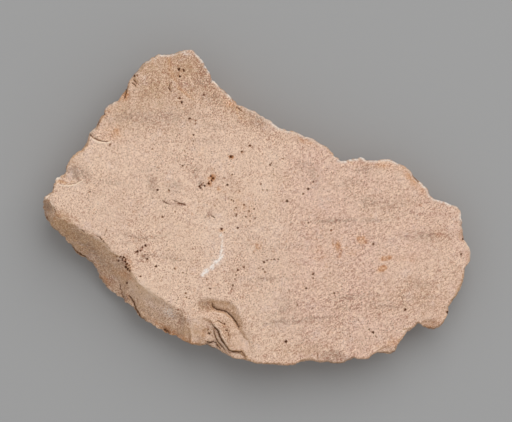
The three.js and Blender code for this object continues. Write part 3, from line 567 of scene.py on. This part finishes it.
def noise(places, size, seed):
    """Gradient noise from about -1 to 1, with features of that size, at an array of places."""
    table = np.random.default_rng(seed).normal(size=(LATTICE_CELLS,) * 3 + (3,))
    table /= np.linalg.norm(table, axis=-1, keepdims=True)
    scaled = places / size
    cell = np.floor(scaled).astype(int)
    inside = scaled - cell
    turn = inside ** 3 * (inside * (inside * 6 - 15) + 10)
    total = np.zeros(len(places))
    for corner in itertools.product((0, 1), repeat=3):
        slope = table[tuple(((cell + corner) % LATTICE_CELLS).T)]
        rise = ((inside - corner) * slope).sum(axis=1)
        total += rise * np.prod(np.where(corner, turn, 1 - turn), axis=1)
    return total * NOISE_GAIN


def line_distance(flat, line):
    """How far each place lies from a line through a few places, all seen from above, and at what
    share of the line's length the nearest place on it is."""
    nearest = np.full(len(flat), np.inf)
    share_there = np.zeros(len(flat))
    lengths = [np.linalg.norm(end - start) for start, end in zip(line, line[1:])]
    passed = 0
    for start, end, length in zip(line, line[1:], lengths):
        along = end - start
        share = np.clip((flat - start) @ along / length ** 2, 0, 1)
        gap = np.linalg.norm(flat - start - share[:, None] * along, axis=1)
        is_nearer = gap < nearest
        nearest[is_nearer] = gap[is_nearer]
        share_there[is_nearer] = ((passed + share * length) / sum(lengths))[is_nearer]
        passed += length
    return nearest, share_there


def stroke(flat, line, half_width):
    """A soft line of that half width in pixels through places in pixels, which tapers off."""
    places = np.array([at_pixel(*place) for place in line])
    half = half_width * PIXEL
    reach = STROKE_REACH * half
    inside = (flat > places.min(axis=0) - reach) & (flat < places.max(axis=0) + reach)
    close = np.flatnonzero(inside.all(axis=1))
    gap, share = line_distance(flat[close], places)
    taper = 1 - (2 * share - 1) ** STROKE_END_POWER
    width = half * (STROKE_END_SHARE + (1 - STROKE_END_SHARE) * taper)
    amount = np.zeros(len(flat))
    amount[close] = taper * np.exp(-(gap / width) ** 2)
    return amount


def turned(flat, turn):
    """Places seen from above, measured along and across a direction turned by some degrees."""
    angle = math.radians(turn)
    along = flat @ np.array([math.cos(angle), math.sin(angle)])
    across = flat @ np.array([-math.sin(angle), math.cos(angle)])
    return np.stack([along, across], axis=1)


def blot(flat, column, row, half_width, half_height, turn, strength):
    """One soft oval blot on the face."""
    away = turned(flat - at_pixel(column, row), turn) / (half_width * PIXEL, half_height * PIXEL)
    return strength * np.exp(-(away ** 2).sum(axis=1))


def blots(flat, rows):
    return sum(blot(flat, *row) for row in rows)


def shaken(flat, places, size, reach, seeds):
    """Places seen from above, shaken about by noise, which makes the marks there uneven."""
    return flat + reach * np.stack([noise(places, size, seed) for seed in seeds], axis=1)


def strongest(amounts):
    return functools.reduce(np.maximum, amounts)


def pits(flat, margin=0, full_radius=0):
    """How deep in a pit each place lies. With a full radius, smaller pits count for less."""
    amounts = []
    for column, row, radius in PIT_PIXELS:
        size = PIT_SHARE * radius + margin
        strength = min(radius / full_radius, 1) if full_radius else 1
        amounts.append(blot(flat, column, row, size, size, 0, strength))
    return strongest(amounts)


def beside_marks(flat, margin):
    """Whether each place lies within about that many pixels of a pit, a dark line or a lip."""
    crack_and_shade_lines = strongest(stroke(flat, line, width + margin) for width, _, _, line in CRACK_AND_SHADE_PIXELS)
    lips = strongest(stroke(flat, line, width + margin) for width, _, line in LIP_PIXELS)
    return strongest([pits(flat, margin), crack_and_shade_lines, lips]) > 1 / math.e


def added(name, data):
    """A new object in the scene."""
    thing = bpy.data.objects.new(name, data)
    bpy.context.scene.collection.objects.link(thing)
    return thing


def remeshed(node):
    """A new object with the CAD node's shape in small even faces."""
    stone = added("limestone_body", node.data.copy())
    remesh = stone.modifiers.new("grain", "REMESH")
    remesh.mode = "VOXEL"
    remesh.voxel_size = FACE_SIZE * METRES
    remesh.use_smooth_shade = True
    depsgraph = bpy.context.evaluated_depsgraph_get()
    even = bpy.data.meshes.new_from_object(stone.evaluated_get(depsgraph))
    stone.modifiers.clear()
    stone.data = even
    return stone


def triples(items, name):
    flat = np.empty(len(items) * 3, np.float32)
    items.foreach_get(name, flat)
    return flat.reshape(-1, 3).astype(float)


def mesh_places(mesh):
    return triples(mesh.vertices, "co") / METRES


def mesh_normals(mesh):
    return triples(mesh.vertex_normals, "vector")


def set_places(mesh, places):
    mesh.vertices.foreach_set("co", (places * METRES).astype(np.float32).ravel())
    mesh.update()


def neighbour_mean(mesh, values):
    """The mean of each vertex's neighbours, for one number or for a row of them."""
    edges = np.empty(len(mesh.edges) * 2, np.int32)
    mesh.edges.foreach_get("vertices", edges)
    one, other = edges.reshape(-1, 2).T
    size = len(values)
    count = np.bincount(edges, minlength=size)
    columns = values.reshape(size, -1).T
    means = [(np.bincount(one, column[other], size) + np.bincount(other, column[one], size)) / count
             for column in columns]
    return np.stack(means, axis=1).reshape(values.shape)


def smoothed(mesh, values, times):
    for _ in range(times):
        values = (values + neighbour_mean(mesh, values)) / 2
    return values


def bulge(mesh, places, normals, times):
    """How far the surface stands out of its surroundings: above 0 on edges, below 0 in creases."""
    away = places - smoothed(mesh, places, times)
    return (away * normals).sum(axis=1)


def rim(places):
    """For each place, how far it is from the stone's outline as seen from above, which way the
    nearest part of the outline faces, and how far below the stone's face there it lies."""
    flat = places[:, :2]
    from_middle = flat - (LOWEST[:2] + HIGHEST[:2]) / 2
    radius = np.linalg.norm(from_middle, axis=1)
    turns = np.arctan2(from_middle[:, 1], from_middle[:, 0]) / math.tau
    slots = (turns * OUTLINE_PLACES).astype(int) % OUTLINE_PLACES
    order = np.argsort(radius)
    farthest = np.zeros(OUTLINE_PLACES, int)
    farthest[slots[order]] = order
    outline = flat[farthest]
    along = np.roll(outline, -OUTLINE_STRIDE, axis=0) - np.roll(outline, OUTLINE_STRIDE, axis=0)
    outward = np.stack([along[:, 1], -along[:, 0]], axis=1)
    outward /= np.linalg.norm(outward, axis=1, keepdims=True)

    outer = np.flatnonzero(radius > radius[farthest][slots] - OUTLINE_BAND)
    tops = np.full(OUTLINE_PLACES, LOWEST[2])
    np.maximum.at(tops, slots[outer], places[outer, 2])

    tree = KDTree(OUTLINE_PLACES)
    for i, (x, y) in enumerate(outline):
        tree.insert((x, y, 0), i)
    tree.balance()
    found = [tree.find((x, y, 0))[1:] for x, y in flat]
    nearest = np.array([i for i, _ in found])
    gap = np.array([distance for _, distance in found])
    return gap, outward[nearest], tops[nearest] - places[:, 2]


def relief(places, layers, seed):
    return sum(height * noise(places, size, seed + i) for i, (size, height) in enumerate(layers))


def wear(mesh):
    """Smooths the remeshed stone, draws its edges out again, bites into its outline or lets it
    stand out more, and smooths its soft parts over."""
    places = smoothed(mesh, mesh_places(mesh), SMOOTHINGS)
    set_places(mesh, places)
    normals = mesh_normals(mesh)
    away = places - smoothed(mesh, places, EDGE_SMOOTHINGS)
    sharp = smooth_share((away * normals).sum(axis=1), *EDGE_HEIGHTS)
    places = places + EDGE_CRISPNESS * sharp[:, None] * away

    gap, outward, _ = rim(places)
    upright = places / NIBBLE_STRETCH
    bite = sum(depth * np.maximum(noise(upright, size, NIBBLE_SEED + i) - NIBBLE_START, 0)
               for i, (size, depth) in enumerate(NIBBLE_SIZES))
    calm = np.minimum(blots(places[:, :2], CALM_PIXELS), 1)
    bite *= np.exp(-(gap / NIBBLE_REACH) ** 2) * (1 - calm)
    swell = blots(places[:, :2], SWELL_PIXELS) * np.exp(-(gap / SWELL_REACH) ** 2)
    places[:, :2] += (swell - bite)[:, None] * outward
    soft = np.minimum(blots(places[:, :2], SOFT_PIXELS), 1)
    soft *= smooth_share(normals[:, 2], *SOFT_FACING)
    places += soft[:, None] * (smoothed(mesh, places, SOFT_SMOOTHINGS) - places)
    set_places(mesh, places)


def carve(mesh):
    """Gives the stone its fracture, the relief of its faces and small hollows."""
    places = mesh_places(mesh)
    normals = mesh_normals(mesh)
    flat = places[:, :2]
    upward = normals[:, 2]
    on_face = smooth_share(upward, *FACE_FACING)
    on_back = smooth_share(-upward, *BACK_FACING)
    seen_above = smooth_share(upward, *SEEN_FACING)
    on_wall = 1 - np.maximum(on_face, on_back)
    under = smooth_share(-upward, *UNDER_FACING) * on_wall

    bedded = places / np.array([BEDDING_LENGTH, BEDDING_LENGTH, BEDDING_THICKNESS])
    combed = turned(flat, WRINKLE_TURN) / (WRINKLE_LENGTH, WRINKLE_WIDTH)
    wrinkled = np.concatenate([combed, places[:, 2:] / WRINKLE_LENGTH], axis=1)
    rise = on_wall * relief(places, FRACTURE_RELIEF, FRACTURE_SEED)
    rise += under * BEDDING_HEIGHT * noise(bedded, 1, BEDDING_SEED)
    rise += on_face * relief(places, FACE_RELIEF, FACE_SEED)
    rise += on_face * WRINKLE_HEIGHT * noise(wrinkled, 1, WRINKLE_SEED)
    # The back's relief lies a little deeper, so that it hardly reaches the plane it rests on
    deeper = FACE_RELIEF[0][1]
    rise += on_back * (relief(places, FACE_RELIEF, BACK_SEED) - deeper)
    rise -= seen_above * blots(flat, HOLLOW_PIXELS)
    set_places(mesh, np.clip(places + rise[:, None] * normals, LOWEST, HIGHEST))


def divide_beside_marks(mesh):
    """Divides the faces beside the fine marks, so that these come out sharp."""
    fine = bmesh.new()
    fine.from_mesh(mesh)
    for margin in MARK_MARGINS:
        fine.verts.ensure_lookup_table()
        fine.verts.index_update()
        places = np.array([vertex.co for vertex in fine.verts]) / METRES
        is_above = np.array([vertex.normal.z > 0 for vertex in fine.verts])
        is_close = is_above & beside_marks(places[:, :2], margin)
        edges = [edge for edge in fine.edges if all(is_close[vertex.index] for vertex in edge.verts)]
        bmesh.ops.subdivide_edges(fine, edges=edges, cuts=1, use_grid_fill=True)
        fine.normal_update()
    fine.to_mesh(mesh)
    fine.free()


def cut_marks(mesh):
    """Cuts the pits and the dark lines into the stone and raises the lips beside them."""
    places = mesh_places(mesh)
    normals = smoothed(mesh, mesh_normals(mesh), CUT_SMOOTHINGS)
    flat = places[:, :2]
    crack_and_shade_lines = strongest(depth * stroke(flat, line, width) for width, depth, _, line in CRACK_AND_SHADE_PIXELS)
    lips = strongest(strength * stroke(flat, line, half) for half, strength, line in LIP_PIXELS)
    rise = LIP_HEIGHT * lips - crack_and_shade_lines - PIT_DEPTH * pits(flat)
    rise *= smooth_share(normals[:, 2], *SEEN_FACING)
    set_places(mesh, np.clip(places + rise[:, None] * normals, LOWEST, HIGHEST))


def set_attribute(mesh, name, values):
    attribute = mesh.attributes.new(name, "FLOAT", "POINT")
    attribute.data.foreach_set("value", values.astype(np.float32))


def mark(mesh):
    """Stores where the stone is stained, broken, pitted and cracked, and where its rim, lips,
    creases and steps get painted highlights and painted shade, for its material.
    """
    places = mesh_places(mesh)
    normals = mesh_normals(mesh)
    flat = places[:, :2]
    upward = smoothed(mesh, normals, PART_SMOOTHINGS)[:, 2]
    seen_above = smooth_share(upward, *SEEN_FACING)

    broken = 1 - smooth_share(np.abs(upward), *WHOLE_FACING)
    fresh = seen_above * np.minimum(blots(flat, FRESH_PIXELS), 1)
    set_attribute(mesh, "broken", broken * (1 - fresh))
    # Edges are made paler from this, and creases get a painted shade
    bulges = sum(bulge(mesh, places, normals, times) for times in BULGE_SMOOTHINGS)
    set_attribute(mesh, "edge", bulges)

    gap, _, depth = rim(places)
    near = np.exp(-(gap / (RIM_HALF_PIXELS * PIXEL)) ** 2)
    near *= smooth_share(depth, RIM_DEPTH, RIM_DEPTH / 2)
    # The rim's painted shade and painted highlight, along the listed lines and close to the
    # outline's top
    for name, rows in (("rim_shade", RIM_SHADE_PIXELS), ("rim_highlight", RIM_HIGHLIGHT_PIXELS)):
        strokes = [strength * stroke(flat, line, RIM_REACH_PIXELS) for strength, line in rows]
        set_attribute(mesh, name, near * strongest(strokes))

    frayed = shaken(flat, places, *FRAY)
    # Stains and tan parts; a grey brown and three tan blots on the brow of the spall are a painted
    # shade
    for name, rows in (("ochre", OCHRE_PIXELS), ("rust", RUST_PIXELS),
                       ("smear_and_shade", SMEAR_AND_SHADE_PIXELS), ("tan", TAN_PIXELS)):
        set_attribute(mesh, name, seen_above * blots(frayed, rows))
    # Chalky scrapes and haloes, and a painted highlight on the rim of the lobe
    scrapes = sum(strength * stroke(frayed, line, half) for half, strength, line in SCRAPE_PIXELS)
    set_attribute(mesh, "chalk_and_glint", seen_above * (scrapes + blots(frayed, CHALK_AND_GLINT_PIXELS)))
    gain = 1 + seen_above * (blots(flat, COARSE_PIXELS) - blots(flat, SMOOTH_PIXELS))
    set_attribute(mesh, "gain", np.maximum(gain, LEAST_GAIN))
    first, full = (at_pixel(column, 0)[0] for column in COMBED_COLUMNS)
    set_attribute(mesh, "combed", seen_above * smooth_share(flat[:, 0], first, full))

    uneven = shaken(flat, places, *SHAKE)
    lips = strongest(strength * stroke(uneven, line, LIP_COLOUR_SHARE * half)
                     for half, strength, line in LIP_PIXELS)
    set_attribute(mesh, "lip", seen_above * lips)
    # Dark lines: cracking and streaks, and a painted shade along steps, creases and notches
    crack_and_shade_lines = strongest(darkness * stroke(uneven, line, CRACK_AND_SHADE_COLOUR_SHARE * width)
                       for width, _, darkness, line in CRACK_AND_SHADE_PIXELS)
    set_attribute(mesh, "crack_and_shade", seen_above * crack_and_shade_lines)
    jagged = shaken(uneven, places, *JAG)
    set_attribute(mesh, "pit", seen_above * pits(jagged, full_radius=PIT_FULL_PIXELS))


# Where a Mix node keeps its colour sockets
MIX_FACTOR, MIX_FIRST_COLOUR, MIX_SECOND_COLOUR, MIX_COLOUR_RESULT = 0, 6, 7, 2


class Shader:
    """Adds nodes to a material's tree. Nearly every method gives back an output to link on."""

    def __init__(self, material):
        self.tree = material.node_tree
        self.principled = self.tree.nodes["Principled BSDF"]
        coordinates = self.tree.nodes.new("ShaderNodeTexCoord").outputs["Object"]
        scale = self.tree.nodes.new("ShaderNodeVectorMath")
        scale.operation = "SCALE"
        scale.inputs["Scale"].default_value = 1 / METRES
        self.tree.links.new(coordinates, scale.inputs[0])
        self.place = scale.outputs[0]

    def put(self, value, socket):
        if isinstance(value, bpy.types.NodeSocket):
            self.tree.links.new(value, socket)
        else:
            socket.default_value = value

    def attribute(self, name):
        node = self.tree.nodes.new("ShaderNodeAttribute")
        node.attribute_name = name
        return node.outputs["Fac"]

    def noise(self, size, detail, roughness, shift, stretch=None):
        """Noise with features of a size. A stretch lengthens them along and across a direction
        on the face: along, across, and the turn in degrees."""
        node = self.tree.nodes.new("ShaderNodeTexNoise")
        node.noise_dimensions = "4D"
        node.inputs["W"].default_value = shift
        node.inputs["Scale"].default_value = 1 / size
        node.inputs["Detail"].default_value = detail
        node.inputs["Roughness"].default_value = roughness
        place = self.place
        if stretch:
            along, across, turn = stretch
            mapping = self.tree.nodes.new("ShaderNodeMapping")
            mapping.vector_type = "TEXTURE"
            mapping.inputs["Rotation"].default_value = (0, 0, math.radians(turn))
            mapping.inputs["Scale"].default_value = (along, across, 1)
            self.put(place, mapping.inputs["Vector"])
            place = mapping.outputs["Vector"]
        self.put(place, node.inputs["Vector"])
        return node.outputs["Fac"]

    def cells(self, size):
        """Cells of a size: how far from the cell's middle, and a chance that differs by cell."""
        node = self.tree.nodes.new("ShaderNodeTexVoronoi")
        node.inputs["Scale"].default_value = 1 / size
        self.put(self.place, node.inputs["Vector"])
        return node.outputs["Distance"], node.outputs["Color"]

    def math(self, operation, one, other):
        node = self.tree.nodes.new("ShaderNodeMath")
        node.operation = operation
        self.put(one, node.inputs[0])
        self.put(other, node.inputs[1])
        return node.outputs[0]

    def product(self, one, other):
        return self.math("MULTIPLY", one, other)

    def ramp(self, value, low, high, to_low, to_high):
        """A value brought from low and high to two others, with a soft turn between them."""
        node = self.tree.nodes.new("ShaderNodeMapRange")
        node.interpolation_type = "SMOOTHSTEP"
        for name, number in zip(("Value", "From Min", "From Max", "To Min", "To Max"),
                                (value, low, high, to_low, to_high)):
            self.put(number, node.inputs[name])
        return node.outputs["Result"]

    def varied(self, noise, levels):
        return self.ramp(self.noise(*noise), *levels)

    def tint(self, colour, share, tint):
        """A colour with that share of an sRGB tint over it."""
        node = self.tree.nodes.new("ShaderNodeMix")
        node.data_type = "RGBA"
        self.put(share, node.inputs[MIX_FACTOR])
        self.put(colour, node.inputs[MIX_FIRST_COLOUR])
        self.put(linear(tint), node.inputs[MIX_SECOND_COLOUR])
        return node.outputs[MIX_COLOUR_RESULT]

    def bump(self, height, distance, normal=None):
        node = self.tree.nodes.new("ShaderNodeBump")
        node.inputs["Distance"].default_value = distance * METRES
        self.put(height, node.inputs["Height"])
        if normal is not None:
            self.put(normal, node.inputs["Normal"])
        return node.outputs["Normal"]


def ground(shader):
    """Pale stone, pinker in broad parts, mottled, tan in parts, with a painted shade on the brow of
    the spall among these, and browner where it broke.
    """
    combed = shader.ramp(shader.attribute("combed"), *COMBED_PINK)
    pinkish = shader.product(shader.varied(*PINK_VARIES), combed)
    colour = shader.tint(linear(STONE_PALE), pinkish, STONE_PINK)
    for noise, low, high, most, tint in MOTTLES:
        colour = shader.tint(colour, shader.varied(noise, (low, high, 0, most)), tint)
    tan = shader.product(shader.attribute("tan"), shader.varied(*TAN_VARIES))
    colour = shader.tint(colour, shader.ramp(tan, *TAN_COVERS), STONE_TAN)
    broken = shader.product(shader.attribute("broken"), shader.varied(*BREAK_VARIES))
    return shader.tint(colour, broken, BREAK_BROWN)


def stained(shader, colour, fray):
    """Stains, with a painted shade on the brow of the spall among the grey brown ones, broken up by
    the grain, and small flecks, some tan and some chalky.
    """
    frayed = shader.ramp(fray, *STAIN_FRAY)
    for name, most, tint in STAINS:
        amount = shader.product(shader.attribute(name), frayed)
        colour = shader.tint(colour, shader.math("MINIMUM", amount, most), tint)
    for noise, low, high, most, tint in FLECKS:
        colour = shader.tint(colour, shader.varied(noise, (low, high, 0, most)), tint)
    return colour


def grained(shader, colour, grain):
    """Pale and dark specks a fraction of a millimetre across, small dark dots, and the chalky
    streaks and a painted highlight on the rim of the lobe that lie over them."""
    gain = shader.product(shader.attribute("gain"), shader.varied(*GRAIN_VARIES))
    _, crystal = shader.cells(CRYSTAL_SIZE)
    wrinkle = shader.noise(*WRINKLE_NOISE)
    combed = shader.ramp(shader.attribute("combed"), *COMBED_WRINKLE)
    kinds = ((grain, GRAIN_LEVELS, gain), (crystal, CRYSTAL_LEVELS, gain),
             (wrinkle, WRINKLE_LEVELS, shader.product(combed, gain)))
    for value, (darkest, palest, pale, dark), share in kinds:
        up = shader.product(shader.ramp(value, GRAIN_MIDDLE, palest, 0, pale), share)
        down = shader.product(shader.ramp(value, GRAIN_MIDDLE, darkest, 0, dark), share)
        colour = shader.tint(shader.tint(colour, up, SPECK_PALE), down, SPECK_DARK)

    away, dice = shader.cells(DOT_CELL_SIZE)
    chosen = shader.math("GREATER_THAN", shader.varied(*DOTS_VARY), dice)
    dots = shader.product(chosen, shader.ramp(away, *DOT_COVERS))
    colour = shader.tint(colour, dots, SPECK_BROWN)

    chalk_and_glint = shader.product(shader.attribute("chalk_and_glint"), shader.varied(*CHALK_AND_GLINT_VARIES))
    return shader.tint(colour, shader.ramp(chalk_and_glint, *CHALK_AND_GLINT_COVERS), CHALK_AND_GLINT_WHITE)


def edged(shader, colour, fray):
    """Edges are paler and creases get a painted shade; the rim gets a painted highlight where it
    faces the light and a painted shade mostly where it faces away, and the lips a painted highlight.
    """
    height = shader.attribute("edge")
    for low, high, most, tint in EDGE_TINTS:
        colour = shader.tint(colour, shader.ramp(height, low, high, 0, most), tint)
    rim_breakup = shader.ramp(fray, *RIM_FRAY)
    for name, tint in RIM_TINTS:
        colour = shader.tint(colour, shader.product(shader.attribute(name), rim_breakup), tint)
    return colour


def marked(shader, colour):
    """Brown rings round the pits, then the dark lines, of cracking and of painted shade along steps
    and creases, and the pits themselves, broken up by grain.
    """
    colour = shader.tint(colour, shader.ramp(shader.attribute("pit"), *RING_COVERS), RING_BROWN)
    ragged = shader.varied(*MARKS_VARY)
    for name, low, high, most, tint in MARK_TINTS:
        amount = shader.math("ADD", shader.attribute(name), ragged)
        colour = shader.tint(colour, shader.ramp(amount, low, high, 0, most), tint)
    return colour


def limestone_material():
    """Pale fine-grained limestone: mottled, speckled, stained by iron, browner where it broke."""
    material = bpy.data.materials.new("limestone")
    material.use_nodes = True
    shader = Shader(material)
    fray = shader.noise(*FRAY_NOISE)
    grain = shader.noise(*GRAIN_NOISE)
    colour = stained(shader, ground(shader), fray)
    colour = edged(shader, grained(shader, colour, grain), fray)
    shader.put(marked(shader, colour), shader.principled.inputs["Base Color"])
    shader.put(ROUGHNESS, shader.principled.inputs["Roughness"])
    shader.put(SPECULAR_LEVEL, shader.principled.inputs["Specular IOR Level"])
    dented = shader.bump(shader.noise(*DENT_NOISE), DENT_HEIGHT)
    shader.put(shader.bump(grain, GRAIN_HEIGHT, dented), shader.principled.inputs["Normal"])
    return material


def floor():
    """A plain pale floor, a hair's breadth under the stone."""
    mesh = bpy.data.meshes.new("floor")
    half = FLOOR_SIZE * METRES / 2
    mesh.from_pydata([(-half, -half, 0), (half, -half, 0), (half, half, 0), (-half, half, 0)], [],
                     [(0, 1, 2, 3)])
    paper = bpy.data.materials.new("floor_paper")
    paper.use_nodes = True
    principled = paper.node_tree.nodes["Principled BSDF"]
    principled.inputs["Base Color"].default_value = (FLOOR_GREY, FLOOR_GREY, FLOOR_GREY, 1)
    principled.inputs["Roughness"].default_value = 1
    principled.inputs["Specular IOR Level"].default_value = 0
    mesh.materials.append(paper)
    plane = added("floor", mesh)
    plane.location.z = CAD_BOX[0].z - FLOOR_GAP * METRES


def sky():
    """Soft even light from all round. The camera sees it in the floor's grey."""
    world = bpy.data.worlds.new("sky")
    bpy.context.scene.world = world
    world.use_nodes = True
    tree = world.node_tree
    background = tree.nodes["Background"]
    path = tree.nodes.new("ShaderNodeLightPath")
    mix = tree.nodes.new("ShaderNodeMix")
    mix.data_type = "FLOAT"
    tree.links.new(path.outputs["Is Camera Ray"], mix.inputs["Factor"])
    mix.inputs["A"].default_value = SKY_STRENGTH
    mix.inputs["B"].default_value = FLOOR_GREY
    tree.links.new(mix.outputs["Result"], background.inputs["Strength"])
    background.inputs["Color"].default_value = (1, 1, 1, 1)


def key_lamp():
    """A large soft lamp beyond the top of the photograph, slightly to its right."""
    lamp = bpy.data.lights.new("key", "AREA")
    lamp.shape = "DISK"
    lamp.size = KEY_SIZE * METRES
    lamp.energy = KEY_WATTS
    key = added("key", lamp)
    direction = Vector(KEY_DIRECTION).normalized()
    key.location = direction * KEY_DISTANCE * METRES
    key.rotation_mode = "QUATERNION"
    key.rotation_quaternion = direction.to_track_quat("Z", "Y")


def camera():
    """A long lens straight above, framed so that the outline lies where the photograph has it."""
    lens = bpy.data.cameras.new("camera")
    lens.sensor_width = CAMERA_SENSOR
    lens.lens = CAMERA_SENSOR * CAMERA_DISTANCE / (PHOTO_WIDTH_PIXELS * PIXEL)
    eye = added("camera", lens)
    middle = at_pixel(*PHOTO_MIDDLE_PIXEL)
    eye.location = Vector((*middle, OUTLINE_HEIGHT + CAMERA_DISTANCE)) * METRES
    bpy.context.scene.camera = eye


bpy.context.scene.view_settings.view_transform = "Standard"
camera()
key_lamp()
sky()
floor()

stone = remeshed(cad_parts["limestone_flake"])
wear(stone.data)
carve(stone.data)
divide_beside_marks(stone.data)
cut_marks(stone.data)
mark(stone.data)
stone.data.materials.clear()
stone.data.materials.append(limestone_material())
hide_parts("limestone_flake")
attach(stone, "root")
